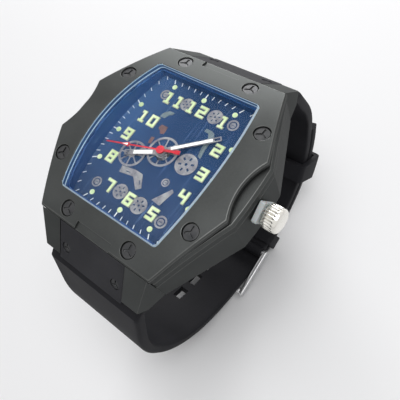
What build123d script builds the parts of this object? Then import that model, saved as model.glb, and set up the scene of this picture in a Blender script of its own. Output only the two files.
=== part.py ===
from build123d import *
import os
from math import asin, atan2, cos, degrees, hypot, radians, sin

# Tonneau watch, closed on its strap, with the crown pulled out to set the time.
# Millimetres. Origin: centre of the case back's outer face. +Z out of the dial, +Y to 12, +X to the crown.

# Case body, drawn as layers of a cylinder that bows along the wrist
CREST = 13.0                # bezel crest above the case back
BOW_RADIUS = 71.4           # radius of the bezel's top, about an axis along X
BOW_CENTRE = CREST - BOW_RADIUS
BEZEL_THICK = 1.2
GAP_THICK = 0.7             # recessed shadow gap under the bezel
RING_THICK = 2.0            # bulging second layer
GAP_TOP = BOW_RADIUS - BEZEL_THICK
RING_TOP = GAP_TOP - GAP_THICK
BAND_TOP = RING_TOP - RING_THICK
BAND_BOTTOM = 0.6           # underside of the case band
BACK_THICK = 1.4

# Outlines seen from above: half widths and half lengths
END_WIDTH = 14.8
END_LENGTH = 21.5
FLANK_WIDTH = 21.4
FLANK_LENGTH = 6.1
SCALLOP_WIDTH = 20.0        # bezel half width at the bottom of its scallop
BAND_FLANK = 22.0
BAND_MIDDLE = 22.3
CRYSTAL_WIDTH = 12.6
CRYSTAL_LENGTH = 16.2
CRYSTAL_MIDDLE = 14.8
CRYSTAL_CORNER = 0.9
CRYSTAL_PROUD = 0.15        # crystal above the bezel
CRYSTAL_BEVEL = 0.35
CRYSTAL_PLAY = 0.05
SEAL_THICK = 0.2
SEAL_WIDTH = 0.3
BEZEL_CHAMFER = 0.3
SCOOP = (9.2, 2.0, 0.8)     # shallow recess at the bezel's 12 and 6 ends
SCOOP_Y = 20.9

# Horns and strap end plates
HORN_INSIDE = 9.0
HORN_OUTSIDE = 14.4
HORN_TIP_OUTSIDE = 13.0
PLATE_START = (21.56, 9.35)  # top of the end plate beside the bezel, as y and z
PLATE_END = (27.55, 2.2)     # its lower edge
PLATE_THICK = 1.2
TONGUE_THICK = 2.0           # strap end under the plate

# Dial and hands
DIAL_TOP = 8.0
DIAL_THICK = 0.4
TRACK_WIDTH = 11.75         # minute track half width at its corners
TRACK_MIDDLE = 13.95
TRACK_LENGTH = 15.35
DIGIT_WIDTH = 2.1
DIGIT_PITCH = 2.7           # between the digits of 10, 11 and 12
DIGIT_HEIGHT = 2.8
DIGIT_STROKE = 0.72
NUMERAL_PLACES = {
    12: (0.1, 11.2), 1: (6.8, 11.1), 2: (9.5, 5.5), 3: (9.9, 0.0), 4: (9.5, -5.4), 5: (6.4, -11.1),
    6: (0.4, -11.1), 7: (-5.4, -10.8), 8: (-9.4, -5.6), 9: (-9.8, 0.1), 10: (-8.1, 4.95), 11: (-5.85, 11.0),
}
DOT_PLACES = {
    12: (0.1, 13.7), 1: (7.9, 13.6), 2: (11.85, 6.9), 3: (12.4, 0.0), 4: (11.85, -6.9), 5: (7.9, -13.65),
    6: (0.15, -13.7), 7: (-7.7, -13.7), 8: (-11.85, -6.9), 9: (-12.5, 0.1), 10: (-11.95, 7.1),
    11: (-7.8, 13.75),
}
DOT_RADIUS = 0.55
HOUR_TICK = (1.05, 0.22)    # length and width
MINUTE_TICK = (0.85, 0.15)
PRINT_THICK = 0.05
NUMERAL_THICK = 0.22
ORNAMENT_THICK = 0.1
HOUR_ANGLE = 242.6          # clockwise from 12
MINUTE_ANGLE = 50.2
SECONDS_ANGLE = 252.9
HOUR_HAND_Z = 8.55
MINUTE_HAND_Z = 8.95
SECONDS_HAND_Z = 9.35
HAND_THICK = 0.2
HAND_RIM = 0.18             # metal each side of the luminous bar
HOUR_REACH = 8.0
MINUTE_REACH = 12.0
SECONDS_REACH = 12.4

# Movement, seen from the dial side; the stem runs along X
STEM_Z = 6.0
STEM_RADIUS = 0.5
MOVEMENT_WIDTH = 10.0
MOVEMENT_LENGTH = 12.0
HOUR_TUBE = 0.9
CANNON_TUBE = 0.5
SECONDS_ARBOR = 0.2
TUBE_PLAY = 0.05
MOTION_MODULE = 0.15
TRAIN_MODULE = 0.15
THIRD_MODULE = 0.125
ROTOR_MODULE = 0.12
CANNON_TEETH = 12
MINUTE_TEETH = 36
MINUTE_PINION_TEETH = 10
HOUR_TEETH = 40
SETTING_TEETH = 18
SLIDING_TEETH = 12
FOURTH_TEETH = 48
THIRD_TEETH = 60
CENTRE_TEETH = 64
FIFTH_TEETH = 30
PINION_TEETH = 8
ROTOR_TEETH = 6
MINUTE_WHEEL_DIRECTION = -44.0
THIRD_DIRECTION = 190.0
FIFTH_DIRECTION = -75.0
ROTOR_DIRECTION = -60.0

# Heights of the movement's layers above the case back
ARBORS = (2.2, 5.4)
ROTOR_MAGNET = (2.7, 3.6)
FIFTH_PINION = (2.85, 3.35)
FOURTH_WHEEL = (3.0, 3.2)
FOURTH_PINION = (3.35, 3.8)
THIRD_WHEEL = (3.45, 3.65)
ROTOR_PINION = (3.8, 4.3)
FIFTH_WHEEL = (3.9, 4.1)
THIRD_PINION = (4.2, 4.8)
CENTRE_WHEEL = (4.4, 4.6)
CANNON_PINION = (6.88, 7.18)
MINUTE_WHEEL = (6.9, 7.12)
MINUTE_PINION = (7.12, 7.48)
HOUR_WHEEL = (7.26, 7.46)
CLAMP_LEVEL = (1.75, 2.05)
BRIDGE_LEVEL = (2.0, 2.55)
BOARD_LEVEL = (2.1, 2.5)
STATOR_LEVEL = (3.05, 3.55)
CORE_LEVEL = (3.6, 4.2)
MAIN_PLATE_LEVEL = (5.2, 6.7)
ARBOR_RADIUS = 0.15

# Crown and its transit clip
CROWN_START = 23.9          # inner face of the crown, pulled out
CROWN_LENGTH = 3.15
CROWN_RADIUS = 2.45
CROWN_FLUTES = 24
FLUTE_RADIUS = 0.27
CROWN_RIM = 0.75            # smooth rim outside the flutes
CROWN_ROUND = 0.45
SKIRT_RADIUS = 1.45         # hollow behind the crown that takes its seal
SKIRT_DEPTH = 1.4
STEM_SOCKET = 1.8           # depth of the stem in the crown
CROWN_TUBE = 1.1
CLIP_START = 22.55
CLIP_THICK = 1.1
CLIP_SIZE = (4.2, 5.8)
CLIP_SLOT = 2.5             # slides over the crown tube
CLIP_TURN = 25.0

# Strap: outer surface of the loop as tangent arcs in the YZ plane
STRAP_THICK = 2.4
TAIL_THICK = 2.3
TAIL_GAP = 0.1
SIDE_RADIUS = 26.0
BASE_CENTRE_Z = -4.2
BASE_RADIUS = 40.8
SIDE_END = -60.0            # where the side arc meets the base arc, from +Y
SIDE_CENTRE = (
    (BASE_RADIUS - SIDE_RADIUS) * cos(radians(SIDE_END)),
    BASE_CENTRE_Z + (BASE_RADIUS - SIDE_RADIUS) * sin(radians(SIDE_END)),
)
SHOULDER_ANGLE = 21.5       # where the side arc leaves for the case
SHOULDER_TOP = 1.4
STRAP_TOP_WIDTH = 13.0      # half width below the horns
STRAP_BASE_WIDTH = 11.0     # half width under the wrist
TAPER_TOP = 2.0
TAPER_END = -22.0
TAIL_TIP_ANGLE = -9.0

# Closure under the wrist, placed by the angle from straight down towards 12
BAR_ANGLE = 5.5
BAR_DEPTH = 39.2
BAR_RADIUS = 0.75
BAR_PIN_RADIUS = 0.55
CROSSBAR_ANGLE = -11.5
CROSSBAR_DEPTH = 42.0
CROSSBAR_RADIUS = 0.9
CROSSBAR_REACH = 11.6
ARM_WIDTH = 2.2
KEEPER_INSIDE = 11.15       # half width of the opening
FREE_KEEPER_WALL = 2.0
FREE_KEEPER_OUTSIDE = 12.4
FIXED_KEEPER_WALL = 0.9
FIXED_KEEPER_OUTSIDE = 11.95
ARM_INSIDE = 11.3           # buckle arms, from the middle
ARM_OUTSIDE = 12.5
FREE_KEEPER_ANGLE = -38.0
FREE_KEEPER_SPAN = 13.0

FROM_BELOW = (Align.CENTER, Align.CENTER, Align.MIN)


def disc(radius, low, high, x=0.0, y=0.0):
    return Pos(x, y, low) * Cylinder(radius, high - low, align=FROM_BELOW)


def rod_x(radius, start, end, y, z):
    return Pos(start, y, z) * Rot(0, 90, 0) * Cylinder(radius, end - start, align=FROM_BELOW)


def block(x0, x1, y0, y1, z0, z1):
    return Pos((x0 + x1) / 2, (y0 + y1) / 2, (z0 + z1) / 2) * Box(x1 - x0, y1 - y0, z1 - z0)


def slab(face, low, high):
    return extrude(Pos(0, 0, low) * face, amount=high - low)


def section_x(face, start, end):
    """Extrude a face that is drawn in y and z from one x to another."""
    return Pos(start, 0, 0) * extrude(Plane.YZ * face, amount=end - start)


def bow(radius):
    """Solid under one bowed surface of the case."""
    return Pos(0, 0, BOW_CENTRE) * Rot(0, 90, 0) * Cylinder(radius, 80)


def bowed_layer(face, lower, upper):
    return slab(face, 0, CREST + 2) & (bow(upper) - bow(lower))


def on_bow(x, y, radius):
    """Place square to a bowed surface of the case."""
    lean = asin(y / radius)
    return Location((x, y, BOW_CENTRE + radius * cos(lean)), (-degrees(lean), 0, 0))


def tonneau(width, length, middle, corner=0.0):
    """Barrel outline: straight ends and long sides that swell to the middle."""
    edges = [
        ThreePointArc((width, -length), (middle, 0), (width, length)),
        Line((width, length), (-width, length)),
        ThreePointArc((-width, length), (-middle, 0), (-width, -length)),
        Line((-width, -length), (width, -length)),
    ]
    face = make_face(edges)
    if corner:
        face = fillet(face.vertices(), corner)
    return face


def inset_tonneau(inset):
    """The crystal's outline drawn in by a margin."""
    corner = max(CRYSTAL_CORNER - inset, 0.3)
    return tonneau(CRYSTAL_WIDTH - inset, CRYSTAL_LENGTH - inset, CRYSTAL_MIDDLE - inset, corner)


def flanked(end_width, end_length, flank_width, flank_length, middle, corner=0.5):
    """Case outline: straight tapering sides between flank corners, with an arc at 3 and 9 o'clock."""
    right = [
        Line((end_width, -end_length), (flank_width, -flank_length)),
        ThreePointArc((flank_width, -flank_length), (middle, 0), (flank_width, flank_length)),
        Line((flank_width, flank_length), (end_width, end_length)),
    ]
    left = [
        Line((-end_width, end_length), (-flank_width, flank_length)),
        ThreePointArc((-flank_width, flank_length), (-middle, 0), (-flank_width, -flank_length)),
        Line((-flank_width, -flank_length), (-end_width, -end_length)),
    ]
    ends = [
        Line((end_width, end_length), (-end_width, end_length)),
        Line((-end_width, -end_length), (end_width, -end_length)),
    ]
    face = make_face(right + [ends[0]] + left + [ends[1]])
    return fillet(face.vertices(), corner)


def quarters(x, y):
    return [(x, y), (-x, y), (-x, -y), (x, -y)]


BEZEL_SCREWS = quarters(8.2, 19.1) + quarters(16.8, 10.8)
BACK_SCREWS = quarters(9.5, 17.5)
SCREW_SINK = 0.25           # bezel screw heads below the surface
SCREW_PLAY = 0.02           # around a shank
SEAT_PLAY = 0.2             # around a head in its recess

# Screws: head radius, head thickness, shank radius and shank length
BEZEL_SCREW = (1.45, 0.5, 0.7, 5.0)
BACK_SCREW = (1.15, 0.6, 0.55, 3.2)
PLATE_SCREW = (1.05, 0.4, 0.55, 4.4)
MOVEMENT_SCREW = (0.8, 0.35, 0.4, 4.3)
THREAD = BACK_SCREW[2] + SCREW_PLAY
MOVEMENT_THREAD = MOVEMENT_SCREW[2] + SCREW_PLAY


def screw(head_radius, head_thick, shank_radius, shank_length):
    """Round head, top at z = 0, with three slots that meet in its middle."""
    body = disc(head_radius, -head_thick, 0) + disc(shank_radius, -head_thick - shank_length, -head_thick)
    slot = block(0, head_radius * 0.8, -head_radius * 0.13, head_radius * 0.13, -0.25, 0.1)
    for turn in (90, 210, 330):
        body -= Rot(0, 0, turn) * slot
    return body


def bezel_screws():
    part = screw(*BEZEL_SCREW)
    return [on_bow(x, y, BOW_RADIUS) * Pos(0, 0, -SCREW_SINK) * part for x, y in BEZEL_SCREWS]


def screw_holes():
    hole = Cylinder(BEZEL_SCREW[2] + SCREW_PLAY, 14)
    return [on_bow(x, y, BOW_RADIUS) * hole for x, y in BEZEL_SCREWS]


def bezel():
    outline = flanked(END_WIDTH, END_LENGTH, FLANK_WIDTH, FLANK_LENGTH, SCALLOP_WIDTH)
    plate = bowed_layer(outline, GAP_TOP, BOW_RADIUS)
    top = plate.faces().sort_by(lambda f: f.center().Z)[-1]
    plate = chamfer(top.outer_wire().edges(), BEZEL_CHAMFER)
    plate -= slab(inset_tonneau(-CRYSTAL_PLAY), 0, CREST + 2)
    head_radius, head_thick = BEZEL_SCREW[:2]
    seat = disc(head_radius + SEAT_PLAY, -SCREW_SINK - head_thick - SCREW_PLAY, 1)
    for x, y in BEZEL_SCREWS:
        plate -= on_bow(x, y, BOW_RADIUS) * seat
    for hole in screw_holes():
        plate -= hole
    for y in (SCOOP_Y, -SCOOP_Y):
        plate -= on_bow(0, y, BOW_RADIUS) * Box(*SCOOP)
    return plate


def upper_case_ring():
    neck = flanked(
        END_WIDTH - 0.9, END_LENGTH - 0.9, FLANK_WIDTH - 1.0, FLANK_LENGTH - 0.2, SCALLOP_WIDTH - 0.9)
    shelf = flanked(END_WIDTH - 0.2, END_LENGTH - 0.1, BAND_FLANK, FLANK_LENGTH - 0.1, BAND_MIDDLE, 1.0)
    lower = bowed_layer(shelf, BAND_TOP + 0.03, RING_TOP)
    top = lower.faces().sort_by(lambda f: f.center().Z)[-1]
    lower = chamfer(top.outer_wire().edges(), 0.5)
    ring = lower + bowed_layer(neck, RING_TOP, GAP_TOP)
    ring -= slab(inset_tonneau(SEAL_WIDTH), 0, CREST)
    ring -= slab(inset_tonneau(-CRYSTAL_PLAY), 0, CREST + 2) - bow(RING_TOP)
    for hole in screw_holes():
        ring -= hole
    return ring


def crystal():
    glass = bowed_layer(inset_tonneau(0.0), RING_TOP + SEAL_THICK, BOW_RADIUS + CRYSTAL_PROUD)
    top = glass.faces().sort_by(lambda f: f.center().Z)[-1]
    return chamfer(top.outer_wire().edges(), CRYSTAL_BEVEL)


def crystal_gasket():
    return bowed_layer(inset_tonneau(0.0) - inset_tonneau(SEAL_WIDTH), RING_TOP, RING_TOP + SEAL_THICK)


def plate_frame():
    """Along and square to the end plate's slope, as unit directions in y and z."""
    run = (PLATE_END[0] - PLATE_START[0], PLATE_END[1] - PLATE_START[1])
    size = hypot(*run)
    along = (run[0] / size, run[1] / size)
    return along, (-along[1], along[0]), size


def on_plate(distance, depth):
    """Point in y and z: a distance down the plate's slope and a depth under its top."""
    along, square, _ = plate_frame()
    y = PLATE_START[0] + distance * along[0] - depth * square[0]
    z = PLATE_START[1] + distance * along[1] - depth * square[1]
    return (y, z)


def horn_face(grow=0.0):
    """Side view of a horn at 12 o'clock, or of the room it needs in the strap."""
    return make_face(Polyline(
        (20.2 - grow, BAND_BOTTOM - grow), (25.2 + grow, BAND_BOTTOM - grow), (26.9 + grow, 2.2 - grow),
        on_plate(8.6, -grow), PLATE_START, (PLATE_START[0], 8.35), (21.45, 8.25), (21.45, 5.0),
        (20.2 - grow, 4.6), close=True))


def horn_plan():
    """Outline of both horns from above; they narrow towards their tips."""
    return make_face(Polyline(
        (HORN_OUTSIDE, 19), (HORN_OUTSIDE, 21.4), (HORN_TIP_OUTSIDE, 27.6), (-HORN_TIP_OUTSIDE, 27.6),
        (-HORN_OUTSIDE, 21.4), (-HORN_OUTSIDE, 19), close=True))


def ledge_face():
    """Shelf between the horns on which the strap end lies."""
    under = PLATE_THICK + TONGUE_THICK + 0.1
    return make_face(Polyline(
        (20.2, BAND_BOTTOM), (23.9, BAND_BOTTOM), on_plate(7.6, under), on_plate(3.75, under), (21.4, 4.4),
        (20.2, 4.4), close=True))


PLATE_SCREWS = (6.9, 5.85)  # x, and distance down the slope


def plate_screw_places():
    """The four screws of the end plates, square to each plate's slope."""
    x, distance = PLATE_SCREWS
    y, z = on_plate(distance, 0)
    lean = degrees(atan2(PLATE_START[1] - PLATE_END[1], PLATE_END[0] - PLATE_START[0]))
    places = []
    for side in (x, -x):
        places.append(Location((side, y, z), (-lean, 0, 0)))
        places.append(Location((side, -y, z), (lean, 0, 0)))
    return places


def case_band():
    outline = flanked(END_WIDTH - 0.2, END_LENGTH - 0.1, BAND_FLANK, FLANK_LENGTH - 0.1, BAND_MIDDLE)
    band = slab(outline, BAND_BOTTOM, CREST) & bow(BAND_TOP)
    top = band.faces().sort_by(lambda f: f.center().Z)[-1]
    band = chamfer(top.outer_wire().edges(), 0.2)
    bottom = band.faces().sort_by(lambda f: f.center().Z)[0]
    band = chamfer(bottom.outer_wire().edges(), 0.25)
    horn = section_x(horn_face(), HORN_INSIDE, HORN_OUTSIDE + 1) & slab(horn_plan(), 0, CREST)
    ledge = section_x(ledge_face(), -HORN_INSIDE, HORN_INSIDE)
    end = horn + mirror(horn, about=Plane.YZ) + ledge
    band += end
    band += mirror(end, about=Plane.XZ)
    band -= slab(inset_tonneau(0.2), BAND_BOTTOM - 1, CREST)
    band -= slab(back_outline(0.05), 0, BACK_THICK)
    band -= slab(inset_tonneau(-0.5), BACK_THICK - 0.1, BACK_THICK + 0.3)
    for hole in screw_holes():
        band -= hole
    for x, y in BACK_SCREWS:
        band -= disc(THREAD, 0, 4.2, x, y)
    for place in plate_screw_places():
        band -= place * Cylinder(THREAD, 11)
    band -= rod_x(CROWN_TUBE + SCREW_PLAY, 10, 25, 0, STEM_Z)
    return band


def back_outline(grow=0.0):
    return tonneau(13.4 + grow, 19.2 + grow, 17.2 + grow, 1.2)


def case_back():
    plate = slab(back_outline(), 0, BACK_THICK)
    bottom = plate.faces().sort_by(Axis.Z)[0]
    plate = chamfer(bottom.outer_wire().edges(), 0.3)
    for x, y in BACK_SCREWS:
        plate -= disc(BACK_SCREW[0] + 0.1, -1, 0.75, x, y)
        plate -= disc(THREAD, -1, 2, x, y)
    return plate


def case_back_gasket():
    return slab(inset_tonneau(-0.5) - inset_tonneau(0.1), BACK_THICK, BACK_THICK + 0.28)


def case_back_screws():
    part = screw(*BACK_SCREW)
    return [Pos(x, y, 0.13) * Rot(180, 0, 0) * part for x, y in BACK_SCREWS]


def end_plate():
    """Plate over the strap end at 12 o'clock."""
    _, square, length = plate_frame()
    under = (PLATE_START[0], PLATE_START[1] - PLATE_THICK / square[1])
    face = make_face(Polyline(
        PLATE_START, on_plate(length, 0), on_plate(length, PLATE_THICK), under, close=True))
    plate = section_x(face, -HORN_INSIDE + 0.1, HORN_INSIDE - 0.1)
    lip = plate.edges().filter_by(Axis.X).sort_by(Axis.Z)
    plate = chamfer(lip[-1], 0.15)
    sides = plate.faces().sort_by(Axis.X)
    slopes = [e for e in sides[-1].edges() + sides[0].edges() if e.length > 9 and e.center().Z > 5.5]
    plate = chamfer(slopes, 0.2)
    for place in plate_screw_places():
        plate -= place * disc(PLATE_SCREW[0] + 0.1, -0.6, 2)
        plate -= place * Cylinder(THREAD, 11)
    return plate


def end_plate_screws():
    part = screw(*PLATE_SCREW)
    return [place * Pos(0, 0, -0.2) * part for place in plate_screw_places()]


def chapter_ring():
    wall = slab(inset_tonneau(0.4) - inset_tonneau(0.75), DIAL_TOP, CREST)
    return wall & bow(RING_TOP + 0.15)


def dial():
    plate = slab(inset_tonneau(0.42), DIAL_TOP - DIAL_THICK, DIAL_TOP)
    return plate - disc(1.5, 0, CREST)


def track_reach(angle):
    """Distance from the centre to the minute track along one direction, clockwise from 12."""
    reach = TRACK_LENGTH / max(abs(cos(angle)), 0.01)
    for _ in range(40):
        y = reach * cos(angle)
        half = TRACK_MIDDLE - (TRACK_MIDDLE - TRACK_WIDTH) * (y / TRACK_LENGTH) ** 2
        side = half / max(abs(sin(angle)), 0.01)
        reach = min(TRACK_LENGTH / max(abs(cos(angle)), 0.01), (reach + side) / 2)
    return reach


def dial_track():
    """Sixty printed minute ticks; those of the hours are longer and stop at the hour dots."""
    ticks = []
    dots = [disc(DOT_RADIUS + 0.1, 0, CREST, x, y) for x, y in DOT_PLACES.values()]
    for minute in range(60):
        angle = radians(6 * minute)
        hour = minute % 5 == 0
        length, width = HOUR_TICK if hour else MINUTE_TICK
        middle = track_reach(angle) - length / 2
        place = Location((middle * sin(angle), middle * cos(angle), DIAL_TOP), (0, 0, -degrees(angle)))
        tick = place * Box(width, length, PRINT_THICK, align=FROM_BELOW)
        if hour:
            for dot in dots:
                tick -= dot
        ticks.append(tick)
    return [tick.solids()[0] for tick in ticks]


# Bars of an angular digit: top, middle, bottom, upper left, upper right, lower left, lower right
DIGIT_BARS = {
    "0": "TBabcd", "2": "TMBbc", "3": "TMBbd", "4": "Mabd", "5": "TMBad",
    "6": "TMBacd", "7": "Tbd", "8": "TMBabcd", "9": "TMBabd",
}


def digit_rectangles(character):
    """Corners x0, x1, y0, y1 of each bar, from the digit's centre."""
    w = DIGIT_WIDTH / 2
    h = DIGIT_HEIGHT / 2
    s = DIGIT_STROKE
    if character == "1":
        foot = s * 0.9
        flag = (-s / 2 - 0.5, s / 2, h - s, h)
        return [(-s / 2, s / 2, -h, h), flag, (-s / 2 - 0.4, s / 2 + 0.4, -h, -h + foot)]
    bars = {
        "T": (-w, w, h - s, h), "M": (-w, w, -s / 2, s / 2), "B": (-w, w, -h, -h + s),
        "a": (-w, -w + s, -s / 2, h), "b": (w - s, w, -s / 2, h),
        "c": (-w, -w + s, -h, s / 2), "d": (w - s, w, -h, s / 2),
    }
    return [bars[name] for name in DIGIT_BARS[character]]


def numeral(hour, inset, low, high):
    text = str(hour)
    centre_x, centre_y = NUMERAL_PLACES[hour]
    solid = None
    for index, character in enumerate(text):
        shift = (index - (len(text) - 1) / 2) * DIGIT_PITCH
        for x0, x1, y0, y1 in digit_rectangles(character):
            x_low = centre_x + shift + x0 + inset
            x_high = centre_x + shift + x1 - inset
            bar = block(x_low, x_high, centre_y + y0 + inset, centre_y + y1 - inset, low, high)
            solid = bar if solid is None else solid + bar
    return solid


NUMERAL_TOP = DIAL_TOP + NUMERAL_THICK


def dial_numerals():
    return [numeral(hour, 0.0, DIAL_TOP, NUMERAL_TOP) for hour in NUMERAL_PLACES]


def dial_lume():
    """Luminous fill on the numerals, and the hour dots."""
    fills = [numeral(hour, 0.13, NUMERAL_TOP, NUMERAL_TOP + 0.06) for hour in NUMERAL_PLACES]
    dots = [disc(DOT_RADIUS, DIAL_TOP, DIAL_TOP + 0.14, x, y) for x, y in DOT_PLACES.values()]
    return fills + dots


def spoked_wheel(x, y, radius, spokes=8):
    """Openwork ornament: a rim, a hub and thin spokes."""
    rim = disc(radius, 0, ORNAMENT_THICK) - disc(radius - 0.45, -1, 1)
    hub = disc(radius * 0.3, 0, ORNAMENT_THICK)
    wheel = rim + hub
    spoke = block(0, radius - 0.2, -0.13, 0.13, 0, ORNAMENT_THICK)
    for index in range(spokes):
        wheel += Rot(0, 0, index * 360 / spokes + 12) * spoke
    return Pos(x, y, DIAL_TOP) * wheel


def pierced_wheel(x, y, radius, holes=6):
    """Openwork ornament: a disc with a ring of slots."""
    wheel = disc(radius, 0, ORNAMENT_THICK) - disc(radius * 0.14, -1, 1)
    slot = block(radius * 0.42, radius * 0.72, -radius * 0.09, radius * 0.09, -1, 1)
    for index in range(holes):
        wheel -= Rot(0, 0, index * 360 / holes + 20) * slot
    return Pos(x, y, DIAL_TOP) * wheel


def jewel_ring(x, y, radius):
    ring = disc(radius, 0, ORNAMENT_THICK) - disc(radius * 0.72, -1, 1)
    ring += disc(radius * 0.5, 0, ORNAMENT_THICK)
    ring -= block(-radius * 0.4, radius * 0.4, -0.06, 0.06, -1, 1)
    return Pos(x, y, DIAL_TOP) * ring


def ornament_bridge():
    outline = make_face(Polyline(
        (-5.9, -6.1), (-5.6, -7.5), (-2.2, -6.9), (0.1, -8.9), (1.0, -8.1), (-0.7, -5.6), (-2.6, -5.5),
        close=True))
    plate = slab(outline, DIAL_TOP, DIAL_TOP + ORNAMENT_THICK)
    plate -= Pos(-3.9, -6.6, DIAL_TOP) * Rot(0, 0, 10) * Box(1.2, 0.2, 1)
    plate -= Pos(-0.2, -7.3, DIAL_TOP) * Rot(0, 0, -50) * Box(1.0, 0.2, 1)
    return plate


def ornament_fan():
    outline = make_face(Polyline((4.4, -8.9), (6.7, -5.2), (7.3, -5.6), (6.5, -9.1), close=True))
    return slab(outline, DIAL_TOP, DIAL_TOP + ORNAMENT_THICK)


def dial_wheels():
    """Generic openwork ornament, cut away where a numeral stands on the dial."""
    centre = spoked_wheel(-0.3, 0.3, 3.3) - disc(1.5, 0, CREST)
    ornaments = [
        centre, ornament_bridge(), ornament_fan(),
        spoked_wheel(-5.9, -3.0, 2.95), pierced_wheel(5.75, 0.3, 2.3),
        pierced_wheel(-2.6, 11.4, 1.45), pierced_wheel(4.5, 11.5, 1.6),
        pierced_wheel(-2.4, -10.7, 1.6), pierced_wheel(2.9, -11.1, 1.75),
        jewel_ring(-8.5, 11.4, 1.15), jewel_ring(8.9, 11.5, 1.2), jewel_ring(-8.4, -11.5, 1.1),
        jewel_ring(8.85, -11.5, 1.25), jewel_ring(4.55, -4.75, 0.85),
    ]
    numerals = dial_numerals()
    trimmed = []
    for shape in ornaments:
        for digit in numerals:
            shape -= digit
        trimmed += list(shape.solids())
    return [shape for shape in trimmed if shape.volume > 0.005]


def hand_bar(width, start, end, low, high):
    return block(-width / 2, width / 2, start, end, low, high)


def turned(solid, clock_angle):
    return Rot(0, 0, -clock_angle) * solid


def framed_hand(clock_angle, low, bore, hub, width, reach, window):
    """Baton hand with an open window that holds the luminous bar."""
    high = low + HAND_THICK
    inside = width - 2 * HAND_RIM
    hand = disc(hub, low, high) + hand_bar(width * 0.8, 0, window[0], low, high)
    hand += hand_bar(width, window[0] - 0.6, reach, low, high)
    hand -= hand_bar(inside, window[0], window[1], low - 1, high + 1)
    hand -= hand_bar(inside, window[1] + 0.3, reach - 0.25, low - 1, high + 1)
    return turned(hand - disc(bore, low - 1, high + 1), clock_angle)


HOUR_WINDOW = (1.9, 6.0)
MINUTE_WINDOW = (2.0, 10.3)
HOUR_WIDTH = 1.15
MINUTE_WIDTH = 0.95


def hour_hand():
    return framed_hand(HOUR_ANGLE, HOUR_HAND_Z, HOUR_TUBE, 1.35, HOUR_WIDTH, HOUR_REACH, HOUR_WINDOW)


def minute_hand():
    return framed_hand(
        MINUTE_ANGLE, MINUTE_HAND_Z, CANNON_TUBE, 0.95, MINUTE_WIDTH, MINUTE_REACH, MINUTE_WINDOW)


def hour_hand_lume():
    low = HOUR_HAND_Z + 0.03
    return turned(hand_bar(HOUR_WIDTH - 2 * HAND_RIM, *HOUR_WINDOW, low, low + HAND_THICK), HOUR_ANGLE)


def minute_hand_lume():
    low = MINUTE_HAND_Z + 0.03
    bar = hand_bar(MINUTE_WIDTH - 2 * HAND_RIM, *MINUTE_WINDOW, low, low + HAND_THICK)
    return turned(bar, MINUTE_ANGLE)


ARROW = (7.1, 9.4, 0.95)    # base, tip and width of the arrow on the seconds hand
ARROW_WINDOW = (7.35, 8.7, 0.5)


def arrow_face(base, tip, width):
    return make_face(Polyline((-width / 2, base), (width / 2, base), (0, tip), close=True))


def seconds_hand():
    low = SECONDS_HAND_Z
    high = low + HAND_THICK
    hand = disc(0.85, low, high + 0.1) + hand_bar(0.26, 0, SECONDS_REACH, low, high)
    hand += slab(arrow_face(*ARROW), low, high)
    hand -= slab(arrow_face(*ARROW_WINDOW), low, high + 1)
    hand += hand_bar(0.5, -3.4, 0, low, high) + hand_bar(0.8, -4.2, -3.0, low, high)
    hand -= disc(SECONDS_ARBOR, low - 1, high - 0.05)
    return turned(hand, SECONDS_ANGLE)


def seconds_hand_lume():
    fill = slab(arrow_face(*ARROW_WINDOW), SECONDS_HAND_Z, SECONDS_HAND_Z + HAND_THICK + 0.02)
    return turned(fill, SECONDS_ANGLE)


def polar(angle, radius):
    return (radius * cos(radians(angle)), radius * sin(radians(angle)))


def offset_by(start, angle, distance):
    x, y = polar(angle, distance)
    return (start[0] + x, start[1] + y)


def meshing(teeth, tooth, direction, other_teeth):
    """Tooth direction of a gear that meshes with another whose tooth direction is known."""
    share = (tooth - direction) * teeth / 360
    return direction + 180 + 360 / other_teeth * (-share - 0.5)


def gear(teeth, module, tooth, low, high, centre=(0, 0)):
    """Spur gear with trapezoid teeth that leave backlash; tooth is the direction of one tooth."""
    pitch = 360 / teeth
    root = module * (teeth / 2 - 1.15)
    tip = module * (teeth / 2 + 0.8)
    points = []
    for index in range(teeth):
        middle = tooth + index * pitch
        points += [polar(middle - 0.28 * pitch, root), polar(middle - 0.11 * pitch, tip)]
        points += [polar(middle + 0.11 * pitch, tip), polar(middle + 0.28 * pitch, root)]
    return Pos(centre[0], centre[1], 0) * slab(make_face(Polyline(*points, close=True)), low, high)


def crossings(radius, low, high, centre=(0, 0), count=5):
    """Round windows that lighten a wheel."""
    hole = disc(radius * 0.2, low - 1, high + 1)
    return [Pos(*offset_by(centre, 360 / count * index, radius * 0.62), 0) * hole for index in range(count)]


SETTING_GAP = MOTION_MODULE * (MINUTE_TEETH + SETTING_TEETH) / 2
MINUTE_GAP = MOTION_MODULE * (CANNON_TEETH + MINUTE_TEETH) / 2
THIRD_GAP = THIRD_MODULE * (THIRD_TEETH + PINION_TEETH) / 2
FIFTH_GAP = TRAIN_MODULE * (FOURTH_TEETH + PINION_TEETH) / 2
ROTOR_GAP = ROTOR_MODULE * (FIFTH_TEETH + ROTOR_TEETH) / 2
CENTRE_MODULE = 2 * THIRD_GAP / (CENTRE_TEETH + PINION_TEETH)
HOUR_MODULE = 2 * MINUTE_GAP / (HOUR_TEETH + MINUTE_PINION_TEETH)
MINUTE_WHEEL_AT = polar(MINUTE_WHEEL_DIRECTION, MINUTE_GAP)
SETTING_RISE = -MINUTE_WHEEL_AT[1]
SETTING_DIRECTION = degrees(asin(SETTING_RISE / SETTING_GAP))
SETTING_AT = offset_by(MINUTE_WHEEL_AT, SETTING_DIRECTION, SETTING_GAP)
THIRD_AT = polar(THIRD_DIRECTION, THIRD_GAP)
FIFTH_AT = polar(FIFTH_DIRECTION, FIFTH_GAP)
ROTOR_AT = offset_by(FIFTH_AT, ROTOR_DIRECTION, ROTOR_GAP)


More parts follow.
